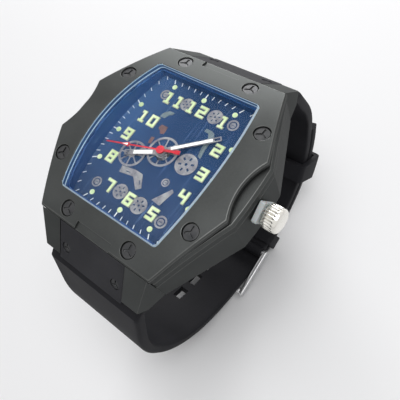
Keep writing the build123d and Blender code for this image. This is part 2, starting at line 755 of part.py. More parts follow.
def fourth_wheel():
    """Seconds arbor with its wheel and the pinion that drives the third wheel."""
    arbor = disc(SECONDS_ARBOR, ARBORS[0], SECONDS_HAND_Z + 0.15)
    wheel = gear(FOURTH_TEETH, TRAIN_MODULE, FIFTH_DIRECTION, *FOURTH_WHEEL)
    for hole in crossings(3.6, *FOURTH_WHEEL):
        wheel -= hole
    return wheel + gear(PINION_TEETH, THIRD_MODULE, THIRD_DIRECTION, *FOURTH_PINION) + arbor


def third_wheel():
    tooth = meshing(PINION_TEETH, THIRD_DIRECTION, THIRD_DIRECTION, THIRD_TEETH)
    wheel = gear(THIRD_TEETH, THIRD_MODULE, tooth, *THIRD_WHEEL, THIRD_AT)
    for hole in crossings(3.7, *THIRD_WHEEL, THIRD_AT):
        wheel -= hole
    pinion = gear(PINION_TEETH, CENTRE_MODULE, THIRD_DIRECTION + 180, *THIRD_PINION, THIRD_AT)
    return wheel + pinion + disc(ARBOR_RADIUS, *ARBORS, *THIRD_AT)


def centre_wheel():
    """Minute wheel of the train; the cannon pinion slips on its tube when the hands are set."""
    tooth = meshing(PINION_TEETH, THIRD_DIRECTION + 180, THIRD_DIRECTION + 180, CENTRE_TEETH)
    wheel = gear(CENTRE_TEETH, CENTRE_MODULE, tooth, *CENTRE_WHEEL)
    for hole in crossings(3.7, *CENTRE_WHEEL):
        wheel -= hole
    wheel += disc(0.7, 4.3, 6.6)
    return wheel - disc(SECONDS_ARBOR + TUBE_PLAY, 0, CREST)


def fifth_wheel():
    tooth = meshing(FOURTH_TEETH, FIFTH_DIRECTION, FIFTH_DIRECTION, PINION_TEETH)
    pinion = gear(PINION_TEETH, TRAIN_MODULE, tooth, *FIFTH_PINION, FIFTH_AT)
    wheel = gear(FIFTH_TEETH, ROTOR_MODULE, ROTOR_DIRECTION, *FIFTH_WHEEL, FIFTH_AT)
    return pinion + wheel + disc(ARBOR_RADIUS, *ARBORS, *FIFTH_AT)


def rotor():
    tooth = meshing(FIFTH_TEETH, ROTOR_DIRECTION, ROTOR_DIRECTION, ROTOR_TEETH)
    magnet = disc(0.8, *ROTOR_MAGNET, *ROTOR_AT)
    pinion = gear(ROTOR_TEETH, ROTOR_MODULE, tooth, *ROTOR_PINION, ROTOR_AT)
    return magnet + pinion + disc(0.12, *ARBORS, *ROTOR_AT)


def cannon_pinion():
    pinion = gear(CANNON_TEETH, MOTION_MODULE, MINUTE_WHEEL_DIRECTION, *CANNON_PINION)
    tube = disc(CANNON_TUBE, MAIN_PLATE_LEVEL[1], MINUTE_HAND_Z + HAND_THICK)
    return pinion + tube - disc(SECONDS_ARBOR + TUBE_PLAY, 0, CREST)


def minute_tooth():
    return meshing(CANNON_TEETH, MINUTE_WHEEL_DIRECTION, MINUTE_WHEEL_DIRECTION, MINUTE_TEETH)


def minute_wheel():
    wheel = gear(MINUTE_TEETH, MOTION_MODULE, minute_tooth(), *MINUTE_WHEEL, MINUTE_WHEEL_AT)
    for hole in crossings(2.6, *MINUTE_WHEEL, MINUTE_WHEEL_AT):
        wheel -= hole
    tooth = MINUTE_WHEEL_DIRECTION + 180
    pinion = gear(MINUTE_PINION_TEETH, HOUR_MODULE, tooth, *MINUTE_PINION, MINUTE_WHEEL_AT)
    return wheel + pinion + disc(0.25, 6.3, MINUTE_WHEEL[1], *MINUTE_WHEEL_AT)


def hour_wheel():
    direction = MINUTE_WHEEL_DIRECTION + 180
    tooth = meshing(MINUTE_PINION_TEETH, direction, direction, HOUR_TEETH)
    wheel = gear(HOUR_TEETH, HOUR_MODULE, tooth, *HOUR_WHEEL)
    tube = disc(HOUR_TUBE, HOUR_WHEEL[0], HOUR_HAND_Z + HAND_THICK)
    return wheel + tube - disc(CANNON_TUBE + TUBE_PLAY, 0, CREST)


def setting_wheel():
    tooth = meshing(MINUTE_TEETH, minute_tooth(), SETTING_DIRECTION, SETTING_TEETH)
    wheel = gear(SETTING_TEETH, MOTION_MODULE, tooth, *MINUTE_WHEEL, SETTING_AT)
    return wheel + disc(0.3, 6.72, 7.3, *SETTING_AT) - disc(0.15, 6, 8, *SETTING_AT)


SQUARE = 0.33               # half width of the stem's square end
SQUARE_END = 8.6
GROOVE = (8.8, 9.6)


def sliding_pinion():
    """Toothed sleeve that turns with the stem and drives the setting wheel."""
    teeth = gear(SLIDING_TEETH, 0.12, 0, 0, 0.9)
    sleeve = teeth + disc(0.62, 0.9, 1.1) + disc(0.75, 1.1, 1.35)
    play = 0.03
    sleeve -= block(-SQUARE - play, SQUARE + play, -SQUARE - play, SQUARE + play, -1, 3)
    return Pos(6.75, 0, STEM_Z) * Rot(0, 90, 0) * sleeve


def stem():
    square = block(6.3, SQUARE_END, -SQUARE, SQUARE, STEM_Z - SQUARE, STEM_Z + SQUARE)
    shaft = rod_x(STEM_RADIUS, SQUARE_END, CROWN_START + STEM_SOCKET, 0, STEM_Z)
    neck = rod_x(STEM_RADIUS + 1, *GROOVE, 0, STEM_Z) - rod_x(0.3, *GROOVE, 0, STEM_Z)
    return square + (shaft - neck)


def crown():
    body = rod_x(CROWN_RADIUS, CROWN_START, CROWN_START + CROWN_LENGTH, 0, STEM_Z)
    ends = body.edges().filter_by(GeomType.CIRCLE).sort_by(Axis.X)
    body = fillet(ends[-1], CROWN_ROUND)
    ends = body.edges().filter_by(GeomType.CIRCLE).sort_by(Axis.X)
    body = chamfer(ends[0], 0.25)
    flute = rod_x(FLUTE_RADIUS, CROWN_START - 1, CROWN_START + CROWN_LENGTH - CROWN_RIM, 0, 0)
    for index in range(CROWN_FLUTES):
        y, z = polar(360 / CROWN_FLUTES * index, CROWN_RADIUS + 0.05)
        body -= Pos(0, y, STEM_Z + z) * flute
    body -= rod_x(SKIRT_RADIUS, CROWN_START - 1, CROWN_START + SKIRT_DEPTH, 0, STEM_Z)
    return body - rod_x(STEM_RADIUS, CROWN_START, CROWN_START + STEM_SOCKET, 0, STEM_Z)


def crown_gasket():
    """Seal in the crown's skirt."""
    ring = rod_x(SKIRT_RADIUS, CROWN_START + 0.9, CROWN_START + SKIRT_DEPTH, 0, STEM_Z)
    return ring - rod_x(CROWN_TUBE + 0.05, CROWN_START, CROWN_START + 2, 0, STEM_Z)


def crown_tube():
    tube = rod_x(CROWN_TUBE, 15.0, BAND_MIDDLE + 0.6, 0, STEM_Z)
    return tube - rod_x(STEM_RADIUS + 0.08, 14, 25, 0, STEM_Z)


def crown_clip():
    """Fork that sits between case and crown and keeps the crown pulled out."""
    plate = Pos(0, 0, -0.3) * Box(CLIP_THICK, *CLIP_SIZE)
    plate = fillet(plate.edges().filter_by(Axis.X), 0.4)
    plate -= Box(CLIP_THICK * 2, CLIP_SLOT, CLIP_SLOT)
    plate -= Pos(0, 0, -CLIP_SLOT) * Box(CLIP_THICK * 2, CLIP_SLOT, CLIP_SLOT * 2)
    plate = Rot(CLIP_TURN, 0, 0) * plate
    return Pos(CLIP_START + CLIP_THICK / 2, 0, STEM_Z) * plate


LEVER_PIVOT = (8.7, 3.0)


def setting_lever():
    """Lever whose pin stands in the stem's groove."""
    pin_x = sum(GROOVE) / 2
    arm = Pos((LEVER_PIVOT[0] + pin_x) / 2, LEVER_PIVOT[1] / 2, 6.96) * Box(0.7, LEVER_PIVOT[1], 0.2)
    lever = arm + disc(0.5, 6.86, 7.06, pin_x, 0) + disc(0.7, 6.86, 7.06, *LEVER_PIVOT)
    lever += disc(0.2, STEM_Z + 0.36, 6.9, pin_x, 0)
    return lever - disc(0.3, 6, 8, *LEVER_PIVOT)


def yoke():
    """Sprung arm whose fork lies in the sliding pinion's groove."""
    arm = block(7.4, 7.83, 1.2, 4.4, 6.72, 6.85) + disc(0.6, 6.72, 6.85, 7.6, 4.6)
    return arm + block(7.67, 7.83, -0.3, 1.3, 6.66, 6.85)


def movement_outline(grow=0.0):
    return RectangleRounded(2 * (MOVEMENT_WIDTH + grow), 2 * (MOVEMENT_LENGTH + grow), 1.5)


BATTERY_AT = (-1.0, 7.9)
BATTERY_RADIUS = 3.4
MOVEMENT_SCREWS = [(8.6, 10.4), (-8.6, 10.4), (8.6, -10.4), (-8.9, -4.9)]


def main_plate():
    plate = slab(movement_outline(), *MAIN_PLATE_LEVEL)
    plate -= disc(0.75, 0, CREST)
    plate -= rod_x(1.3, 5.95, 11, 0, STEM_Z)
    plate -= block(5.95, 11, -1.3, 1.3, STEM_Z, 8)
    plate -= disc(BATTERY_RADIUS + 0.2, 0, 6.0, *BATTERY_AT)
    for place in (THIRD_AT, FIFTH_AT, ROTOR_AT):
        plate -= disc(0.2, 5, 5.6, *place)
    plate -= disc(0.28, 6.2, 8, *MINUTE_WHEEL_AT)
    plate += disc(0.13, 6.7, 7.4, *SETTING_AT) + disc(0.27, 6.7, 7.1, *LEVER_PIVOT)
    for x, y in MOVEMENT_SCREWS:
        plate -= disc(MOVEMENT_THREAD, 5, 8, x, y)
        plate += disc(1.0, 2.6, MAIN_PLATE_LEVEL[0], x, y) - disc(MOVEMENT_THREAD, 2, 8, x, y)
    return plate


def train_bridge():
    outline = make_face(Polyline(
        (-9.6, -5.8), (-9.6, 3.4), (0.2, 3.9), (4.6, 1.0), (4.6, -7.2), (0.4, -7.2), (-1.5, -5.8),
        close=True))
    plate = slab(outline, *BRIDGE_LEVEL)
    for place in ((0, 0), THIRD_AT, FIFTH_AT, ROTOR_AT):
        plate -= disc(0.25, 1, 3, *place)
    plate -= disc(MOVEMENT_THREAD, 0, 5, *MOVEMENT_SCREWS[3])
    return plate


def circuit_board():
    board = slab(movement_outline(-0.2), *BOARD_LEVEL)
    board -= block(-9.85, 4.9, -7.4, 4.05, 0, 5)
    board -= disc(BATTERY_RADIUS + 0.3, 0, 5, *BATTERY_AT)
    board -= block(-7.5, 5.5, -11.2, -7.4, 0, 5)
    for x, y in MOVEMENT_SCREWS:
        board -= disc(MOVEMENT_THREAD, 0, 5, x, y)
    return board


def battery():
    cell = disc(BATTERY_RADIUS, 2.3, 4.7, *BATTERY_AT) + disc(BATTERY_RADIUS - 0.5, 2.1, 2.3, *BATTERY_AT)
    return cell


def battery_clamp():
    """Springy strap under the cell, screwed down at the movement's edge."""
    y = BATTERY_AT[1]
    strap = block(-9.4, 9.4, y - 1.0, y + 1.0, *CLAMP_LEVEL)
    for side_x, side_y in MOVEMENT_SCREWS[:2]:
        foot = block(side_x - 0.9, side_x + 0.9, y, 11.0, *CLAMP_LEVEL)
        strap += foot - disc(MOVEMENT_THREAD, 0, 5, side_x, side_y)
    return strap


def movement_screws():
    part = screw(*MOVEMENT_SCREW)
    levels = [CLAMP_LEVEL[0], CLAMP_LEVEL[0], BOARD_LEVEL[0], BRIDGE_LEVEL[0]]
    thick = MOVEMENT_SCREW[1]
    return [Pos(x, y, low - thick) * Rot(180, 0, 0) * part for (x, y), low in zip(MOVEMENT_SCREWS, levels)]


COIL_Y = -9.3
COIL_LUGS = (-6.4, 4.4)


def coil_winding():
    bobbin = rod_x(1.25, -5.5, 3.5, COIL_Y, 3.9)
    return bobbin - block(-6, 4, COIL_Y - 0.6, COIL_Y + 0.6, *CORE_LEVEL)


def coil_core():
    """Soft iron bar through the winding, with a lug at each end."""
    core = block(-7.2, 5.2, COIL_Y - 0.6, COIL_Y + 0.6, *CORE_LEVEL)
    for x in COIL_LUGS:
        core -= disc(0.4, 3, 5, x, COIL_Y)
    return core


def stator():
    """Plate that leads the coil's field round the rotor."""
    outline = make_face(Polyline(
        (-7.2, COIL_Y - 0.6), (-5.6, COIL_Y - 0.6), (-5.6, -7.9), (0.4, -7.6), (0.6, -7.2), (3.9, -7.2),
        (3.7, COIL_Y - 0.6), (5.2, COIL_Y - 0.6), (5.6, -4.3), (0.9, -4.6), (-1.0, -6.2), (-7.2, -7.0),
        close=True))
    plate = slab(outline, *STATOR_LEVEL) - disc(1.0, 3, 4, *ROTOR_AT)
    for x in COIL_LUGS:
        plate -= disc(0.4, 3, 5, x, COIL_Y)
    return plate - disc(0.9, 3, 4, *FIFTH_AT)


def movement_holder():
    ring = slab(inset_tonneau(0.42), 1.5, DIAL_TOP - DIAL_THICK)
    ring -= slab(movement_outline(0.1), 0, CREST)
    ring -= rod_x(1.3, 9, 20, 0, STEM_Z)
    return ring


def base_point(angle, radius):
    """Point on the base arc; the angle is taken from straight down, towards 12."""
    return (radius * sin(radians(angle)), BASE_CENTRE_Z - radius * cos(radians(angle)))


def side_point(angle, radius):
    return offset_by(SIDE_CENTRE, angle, radius)


def arc_between(centre, radius, start, end):
    return CenterArc(centre, radius, start, end - start)


def shoulder(depth):
    """Top of the straight strap surface, a depth inside the outer one."""
    lean = radians(SHOULDER_ANGLE)
    y, z = side_point(SHOULDER_ANGLE, SIDE_RADIUS)
    rise = SHOULDER_TOP - z
    return (y - rise * sin(lean) / cos(lean) - depth * cos(lean), SHOULDER_TOP - depth * sin(lean))


def shoulder_edges():
    """Edges of the strap end between the horns, from the inner shoulder round to the outer one."""
    top = PLATE_THICK + 0.05
    under = top + TONGUE_THICK
    points = [
        shoulder(STRAP_THICK), on_plate(8.0, under), on_plate(3.85, under), on_plate(1.45, top),
        on_plate(9.3, top), shoulder(0)]
    return [Line(a, b) for a, b in zip(points, points[1:])]


def taper():
    """Block that narrows the strap from the horns to the wrist's underside."""
    outline = make_face(Polyline(
        (STRAP_TOP_WIDTH, 12), (STRAP_TOP_WIDTH, TAPER_TOP),
        (STRAP_BASE_WIDTH, TAPER_END), (STRAP_BASE_WIDTH, -60),
        (-STRAP_BASE_WIDTH, -60), (-STRAP_BASE_WIDTH, TAPER_END),
        (-STRAP_TOP_WIDTH, TAPER_TOP), (-STRAP_TOP_WIDTH, 12), close=True))
    return extrude(Plane.XZ * outline, amount=60, both=True)


def clear_of_horns(solid):
    """Cut the strap back from the horns at 12 o'clock."""
    gap = section_x(horn_face(0.12), HORN_INSIDE - 0.12, HORN_OUTSIDE + 2)
    return solid - gap - mirror(gap, about=Plane.YZ)


def strap_holes():
    """Screw holes of the strap end at 12 o'clock."""
    return [place * Cylinder(0.6, 12) for place in plate_screw_places()]


BAR_AT = base_point(BAR_ANGLE, BAR_DEPTH)
CROSSBAR_AT = base_point(CROSSBAR_ANGLE, CROSSBAR_DEPTH)


def strap_buckle_half():
    """Strap half at 12 o'clock, looped round the spring bar."""
    inner_side = SIDE_RADIUS - STRAP_THICK
    inner_base = BASE_RADIUS - STRAP_THICK
    end = BAR_ANGLE - 90
    edges = [
        Line(shoulder(0), side_point(SHOULDER_ANGLE, SIDE_RADIUS)),
        arc_between(SIDE_CENTRE, SIDE_RADIUS, SHOULDER_ANGLE, SIDE_END),
        arc_between((0, BASE_CENTRE_Z), BASE_RADIUS, SIDE_END, end),
        Line(base_point(BAR_ANGLE, BASE_RADIUS), base_point(BAR_ANGLE, inner_base)),
        arc_between((0, BASE_CENTRE_Z), inner_base, end, SIDE_END),
        arc_between(SIDE_CENTRE, inner_side, SIDE_END, SHOULDER_ANGLE),
        Line(side_point(SHOULDER_ANGLE, inner_side), shoulder(STRAP_THICK)),
    ] + shoulder_edges()
    band = section_x(make_face(edges), -STRAP_TOP_WIDTH, STRAP_TOP_WIDTH) & taper()
    band = clear_of_horns(band)
    for hole in strap_holes():
        band -= hole
    band += rod_x(BASE_RADIUS - BAR_DEPTH, -STRAP_BASE_WIDTH + 0.1, STRAP_BASE_WIDTH - 0.1, *BAR_AT)
    band -= rod_x(BAR_RADIUS + 0.02, -20, 20, *BAR_AT)
    return band - rod_x(2.4, -1.5, 1.5, *BAR_AT)


RAMP_START = 12.0           # degrees from straight down, towards 6 and towards 12
RAMP_END = 5.0
HOLE_LENGTH = 3.8
HOLE_WIDTH = 2.8
BASE_HOLES = (-25.0, -16.1, -7.1, 1.8, 10.7, 19.6, 28.5)
SIDE_HOLES = (-48.6,)


def strap_tail_half():
    """Strap half at 6 o'clock: through the buckle and up along the outside of the other half."""
    inner_side = SIDE_RADIUS - STRAP_THICK
    inner_base = BASE_RADIUS - STRAP_THICK
    tail_in = TAIL_GAP
    tail_out = TAIL_GAP + TAIL_THICK
    other_side = (-SIDE_CENTRE[0], SIDE_CENTRE[1])
    base = (0, BASE_CENTRE_Z)
    start = RAMP_START - 90
    end = -RAMP_END - 90
    turn = -180 - SIDE_END
    tip = -180 - TAIL_TIP_ANGLE

    def ramp(first, last):
        """S-shaped step from under the crossbar to over the spring bar."""
        ends = [base_point(RAMP_START, first), base_point(-RAMP_END, last)]
        aims = [(sin(radians(a)), -cos(radians(a))) for a in (start, end)]
        return Spline(ends[0], ends[1], tangents=aims)

    tip_mid = offset_by(other_side, tip - 2.6, SIDE_RADIUS + (tail_in + tail_out) / 2)
    edges = [
        Line(shoulder(0), side_point(SHOULDER_ANGLE, SIDE_RADIUS)),
        arc_between(SIDE_CENTRE, SIDE_RADIUS, SHOULDER_ANGLE, SIDE_END),
        arc_between(base, BASE_RADIUS, SIDE_END, start),
        ramp(BASE_RADIUS, BASE_RADIUS + tail_out),
        arc_between(base, BASE_RADIUS + tail_out, end, turn),
        arc_between(other_side, SIDE_RADIUS + tail_out, turn, tip),
        ThreePointArc(offset_by(other_side, tip, SIDE_RADIUS + tail_out), tip_mid,
                      offset_by(other_side, tip, SIDE_RADIUS + tail_in)),
        arc_between(other_side, SIDE_RADIUS + tail_in, tip, turn),
        arc_between(base, BASE_RADIUS + tail_in, turn, end),
        ramp(inner_base, BASE_RADIUS + tail_in),
        arc_between(base, inner_base, start, SIDE_END),
        arc_between(SIDE_CENTRE, inner_side, SIDE_END, SHOULDER_ANGLE),
        Line(side_point(SHOULDER_ANGLE, inner_side), shoulder(STRAP_THICK)),
    ] + shoulder_edges()
    band = section_x(make_face(edges), -STRAP_TOP_WIDTH, STRAP_TOP_WIDTH) & taper()
    band = clear_of_horns(band)
    for hole in strap_holes():
        band -= hole
    band = mirror(band, about=Plane.XZ)
    cutter = Box(HOLE_WIDTH, HOLE_LENGTH, 5)
    for angle in BASE_HOLES:
        y, z = base_point(angle, BASE_RADIUS + 0.6 if angle > 0 else BASE_RADIUS - 1)
        band -= Location((0, y, z), (angle, 0, 0)) * cutter
    for angle in SIDE_HOLES:
        y, z = side_point(angle, SIDE_RADIUS + 1.4)
        band -= Location((0, y, z), (angle + 90, 0, 0)) * cutter
    return band


def spring_bar():
    bar = rod_x(BAR_RADIUS, -11.1, 11.1, *BAR_AT)
    return bar + rod_x(BAR_PIN_RADIUS, -ARM_OUTSIDE + 0.1, ARM_OUTSIDE - 0.1, *BAR_AT)


def link_face(start, end, width):
    """Rounded strip between two points in y and z."""
    run = (end[0] - start[0], end[1] - start[1])
    slot = SlotCenterToCenter(hypot(*run), width)
    middle = Pos((start[0] + end[0]) / 2, (start[1] + end[1]) / 2)
    return middle * Rot(0, 0, degrees(atan2(run[1], run[0]))) * slot


def buckle_frame():
    arm = section_x(link_face(BAR_AT, CROSSBAR_AT, ARM_WIDTH), ARM_INSIDE, ARM_OUTSIDE)
    crossbar = rod_x(CROSSBAR_RADIUS, -CROSSBAR_REACH, CROSSBAR_REACH, *CROSSBAR_AT)
    frame = arm + mirror(arm, about=Plane.YZ) + crossbar
    return frame - rod_x(BAR_PIN_RADIUS + 0.05, -20, 20, *BAR_AT)


TONGUE_WIDTH = 1.8
TONGUE_DEPTH = 0.9
TONGUE_ROUTE = ((1.7, 41.5), (0.5, 43.4), (-13.0, 43.52))   # angle and radius of its bends


def buckle_tongue():
    """Pin that rises through the tail's slot and rests on the crossbar."""
    bend, heel, tip = [base_point(angle, radius) for angle, radius in TONGUE_ROUTE]
    face = link_face(BAR_AT, bend, TONGUE_DEPTH)
    face += link_face(bend, heel, TONGUE_DEPTH)
    face += link_face(heel, tip, TONGUE_DEPTH)
    tongue = section_x(face, -TONGUE_WIDTH / 2, TONGUE_WIDTH / 2)
    tongue += rod_x(1.3, -1.2, 1.2, *BAR_AT)
    return tongue - rod_x(BAR_RADIUS + 0.05, -5, 5, *BAR_AT)


def keeper(centre, low, high, start, end, wall, outside_half):
    """Flat loop round both straps that follows their arc."""

    def sector(inside, outside, half):
        edges = [
            arc_between(centre, outside, start, end),
            Line(offset_by(centre, end, outside), offset_by(centre, end, inside)),
            arc_between(centre, inside, end, start),
            Line(offset_by(centre, start, inside), offset_by(centre, start, outside)),
        ]
        return section_x(make_face(edges), -half, half)

    loop = sector(low - wall, high + wall, outside_half)
    long_edges = loop.edges().filter_by(GeomType.CIRCLE)
    loop = fillet(long_edges, 0.4)
    return loop - sector(low, high, KEEPER_INSIDE)


def fixed_keeper():
    low = BASE_RADIUS - STRAP_THICK - 0.03
    high = BASE_RADIUS + TAIL_GAP + TAIL_THICK + 0.05
    return keeper((0, BASE_CENTRE_Z), low, high, -80.5, -75.5, FIXED_KEEPER_WALL, FIXED_KEEPER_OUTSIDE)


def free_keeper():
    low = SIDE_RADIUS - STRAP_THICK - 0.08
    high = SIDE_RADIUS + TAIL_GAP + TAIL_THICK + 0.08
    start = FREE_KEEPER_ANGLE - FREE_KEEPER_SPAN / 2
    return keeper(
        SIDE_CENTRE, low, high, start, start + FREE_KEEPER_SPAN, FREE_KEEPER_WALL, FREE_KEEPER_OUTSIDE)


NODES = {
    "bezel": bezel,
    "bezel_screws": bezel_screws,
    "upper_case_ring": upper_case_ring,
    "crystal": crystal,
    "crystal_gasket": crystal_gasket,
    "case_band": case_band,
    "case_back": case_back,
    "case_back_gasket": case_back_gasket,
    "case_back_screws": case_back_screws,
    "end_plate_12": end_plate,
    "end_plate_6": lambda: mirror(end_plate(), about=Plane.XZ),
    "end_plate_screws": end_plate_screws,
    "chapter_ring": chapter_ring,
    "dial": dial,
    "dial_track": dial_track,
    "dial_numerals": dial_numerals,
    "dial_lume": dial_lume,
    "dial_wheels": dial_wheels,
    "hour_hand": hour_hand,
    "hour_hand_lume": hour_hand_lume,
    "minute_hand": minute_hand,
    "minute_hand_lume": minute_hand_lume,
    "seconds_hand": seconds_hand,
    "seconds_hand_lume": seconds_hand_lume,
    "fourth_wheel": fourth_wheel,
    "third_wheel": third_wheel,
    "centre_wheel": centre_wheel,
    "fifth_wheel": fifth_wheel,
    "rotor": rotor,
    "cannon_pinion": cannon_pinion,
    "minute_wheel": minute_wheel,
    "hour_wheel": hour_wheel,
    "setting_wheel": setting_wheel,
    "sliding_pinion": sliding_pinion,
    "stem": stem,
    "crown": crown,
    "crown_gasket": crown_gasket,
    "crown_tube": crown_tube,
    "crown_clip": crown_clip,
    "setting_lever": setting_lever,
    "yoke": yoke,
    "main_plate": main_plate,
    "train_bridge": train_bridge,
    "circuit_board": circuit_board,
    "battery": battery,
    "battery_clamp": battery_clamp,
    "movement_screws": movement_screws,
    "coil_winding": coil_winding,
    "coil_core": coil_core,
    "stator": stator,
    "movement_holder": movement_holder,
    "strap_buckle_half": strap_buckle_half,
    "strap_tail_half": strap_tail_half,
    "spring_bar": spring_bar,
    "buckle_frame": buckle_frame,
    "buckle_tongue": buckle_tongue,
    "fixed_keeper": fixed_keeper,
    "free_keeper": free_keeper,
}

os.makedirs("parts", exist_ok=True)
for name, make in NODES.items():
    made = make()
    solids = made if isinstance(made, list) else list(made.solids())
    shape = solids[0] if len(solids) == 1 else Compound(children=solids)
    export_step(shape, f"parts/{name}.step")
    print(name, len(solids), round(sum(solid.volume for solid in solids), 3))
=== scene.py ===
# %% [markdown]
# # A tonneau watch, dressed
#
# The watch has a black barrel-shaped case, a blue dial under a bowed crystal, and a rubber strap that
# is closed on its buckle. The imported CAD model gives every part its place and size. In this notebook
# each visible part gets the rounding, the texture and the finish of the real thing. Everything is in
# metres, with the dial facing +Z, 12 o'clock towards +Y and the crown towards +X.

# %% Load the frame
import bpy
import bmesh
from math import cos, pi, radians, sin
from mathutils import Matrix, Vector


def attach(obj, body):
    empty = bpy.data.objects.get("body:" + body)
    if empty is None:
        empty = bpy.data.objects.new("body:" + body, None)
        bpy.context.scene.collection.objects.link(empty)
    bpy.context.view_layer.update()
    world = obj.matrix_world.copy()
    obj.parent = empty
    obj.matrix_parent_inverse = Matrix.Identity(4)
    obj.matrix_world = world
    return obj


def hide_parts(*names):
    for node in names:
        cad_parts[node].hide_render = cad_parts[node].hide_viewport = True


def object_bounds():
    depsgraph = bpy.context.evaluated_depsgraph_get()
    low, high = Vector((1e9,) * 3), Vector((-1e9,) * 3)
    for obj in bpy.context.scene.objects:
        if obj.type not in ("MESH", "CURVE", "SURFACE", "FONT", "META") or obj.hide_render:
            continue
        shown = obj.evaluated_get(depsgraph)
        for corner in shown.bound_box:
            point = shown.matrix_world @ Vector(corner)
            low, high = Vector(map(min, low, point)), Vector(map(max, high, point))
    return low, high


MM = 0.001
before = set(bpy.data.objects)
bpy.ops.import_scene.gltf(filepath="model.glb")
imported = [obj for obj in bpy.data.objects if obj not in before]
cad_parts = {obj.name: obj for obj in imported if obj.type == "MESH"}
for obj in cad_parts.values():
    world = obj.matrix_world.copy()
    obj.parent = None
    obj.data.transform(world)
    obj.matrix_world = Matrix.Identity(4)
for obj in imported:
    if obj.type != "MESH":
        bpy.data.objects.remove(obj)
cad_box = [list(corner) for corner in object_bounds()]
print("CAD box in mm", [[round(value / MM, 1) for value in corner] for corner in cad_box])

# %% [markdown]
# ## The camera
#
# The photograph was taken from close by, from the crown's side and a little from 6 o'clock. The short
# distance, about nine centimetres to the crystal, gives its strong perspective. A constraint could
# aim the camera, but this one also leans, so its three directions are written out as a turn.

# %% The camera
CAMERA_AT = Vector((51.41, -21.60, 80.60)) * MM
camera_data = bpy.data.cameras.new("photo_camera")
camera = bpy.data.objects.new("photo_camera", camera_data)
bpy.context.scene.collection.objects.link(camera)
camera_data.sensor_width = 36.0
camera_data.lens = 41.93
camera_data.clip_start = 0.005
camera_right = Vector((0.768, 0.580, -0.272)).normalized()
camera_back = Vector((0.462, -0.206, 0.862)).normalized()
camera_up = camera_back.cross(camera_right).normalized()
camera_right = camera_up.cross(camera_back)
camera_turn = Matrix((camera_right, camera_up, camera_back)).transposed().to_4x4()
camera.matrix_world = Matrix.Translation(CAMERA_AT) @ camera_turn
bpy.context.scene.camera = camera
print("camera to the case back, in mm", round(CAMERA_AT.length / MM, 1))

# %% [markdown]
# ## Helpers for working by hand
#
# An operator acts on whatever is selected, so each step starts from nothing selected. Faces, edges
# and points are then picked by where they lie, much as a modeller clicks them.

# %% Selecting
def clear():
    """Leave edit mode and deselect everything."""
    if bpy.context.mode != "OBJECT":
        bpy.ops.object.mode_set(mode="OBJECT")
    bpy.ops.object.select_all(action="DESELECT")


def only(piece):
    """Select one object and nothing else."""
    clear()
    piece.select_set(True)
    bpy.context.view_layer.objects.active = piece


def edit(piece):
    """Enter edit mode with nothing selected."""
    only(piece)
    bpy.ops.object.mode_set(mode="EDIT")
    bpy.ops.mesh.select_all(action="DESELECT")


def everything():
    """Select the whole mesh in edit mode."""
    bpy.ops.mesh.select_all(action="SELECT")


def edge_middle(edge):
    return (edge.verts[0].co + edge.verts[1].co) / 2


def near(first, second, reach=0.001 * MM):
    return abs(first - second) < reach


# %% Picking by place
def pick(piece, test, kind="FACE"):
    """In edit mode, select the faces, edges or points that pass a test of their middle and normal."""
    bpy.ops.mesh.select_mode(type=kind)
    bpy.ops.mesh.select_all(action="DESELECT")
    mesh = bmesh.from_edit_mesh(piece.data)
    for element in {"FACE": mesh.faces, "EDGE": mesh.edges, "VERT": mesh.verts}[kind]:
        if kind == "FACE":
            chosen = test(element.calc_center_median(), element.normal)
        elif kind == "EDGE":
            chosen = test(edge_middle(element), None)
        else:
            chosen = test(element.co, None)
        element.select_set(chosen)
    mesh.select_flush_mode()
    bmesh.update_edit_mesh(piece.data)


# %% [markdown]
# Most pieces grow by extruding, which leaves some faces pointing inwards, so they are turned round
# afterwards. A bevel modifier rounds a small piece, and shading by angle keeps its corners crisp.

# %% Shaping
def extruded(x=0, y=0, z=0):
    """Extrude what is selected."""
    bpy.ops.mesh.extrude_region_move(TRANSFORM_OT_translate={"value": (x, y, z)})


def turned_outwards():
    """Point all faces outwards, in edit mode."""
    everything()
    bpy.ops.mesh.normals_make_consistent(inside=False)


# %% Rounding and smoothing
def bevelled(piece, width, segments=2, angle=30):
    """Round the sharp edges with a bevel modifier and apply it."""
    only(piece)
    rounding = piece.modifiers.new("rounding", "BEVEL")
    rounding.width = width
    rounding.segments = segments
    rounding.limit_method = "ANGLE"
    rounding.angle_limit = radians(angle)
    rounding.use_clamp_overlap = True
    rounding.miter_outer = "MITER_ARC"
    bpy.ops.object.modifier_apply(modifier=rounding.name)


def smoothed(piece, angle=40):
    """Shade smooth, apart from edges sharper than the angle."""
    only(piece)
    bpy.ops.object.shade_smooth_by_angle(angle=radians(angle))


# %% Settling and joining
def settled(piece):
    """Put the object at the origin, unturned and unscaled, with its place in its mesh."""
    only(piece)
    bpy.ops.object.transform_apply(location=True, rotation=True, scale=True)


def joined(pieces, name):
    """Join several objects to one."""
    clear()
    for piece in pieces:
        piece.select_set(True)
    bpy.context.view_layer.objects.active = pieces[0]
    bpy.ops.object.join()
    piece = bpy.context.view_layer.objects.active
    piece.name = name
    piece.data.name = name
    return piece


# %% [markdown]
# A finished piece needs three things: a material, the CAD nodes that it stands for, and the body that
# carries it when the watch moves.

# %% Dressing a piece
def dressed(piece, material, body, slot, *nodes, edge=None):
    """Give a finished piece its material, its body and the nodes that it stands for."""
    settled(piece)
    slots = [face.material_index for face in piece.data.polygons]
    piece.data.materials.clear()
    piece.data.materials.append(material)
    if edge:
        piece.data.materials.append(edge)
        piece.data.polygons.foreach_set("material_index", slots)
    if nodes:
        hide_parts(*nodes)
    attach(piece, body)
    return piece


# %% [markdown]
# The case's top is part of a cylinder along X. Its CAD faces are narrow flat strips, and would show as
# such in a reflection, so their corners get the normals of the true cylinder.

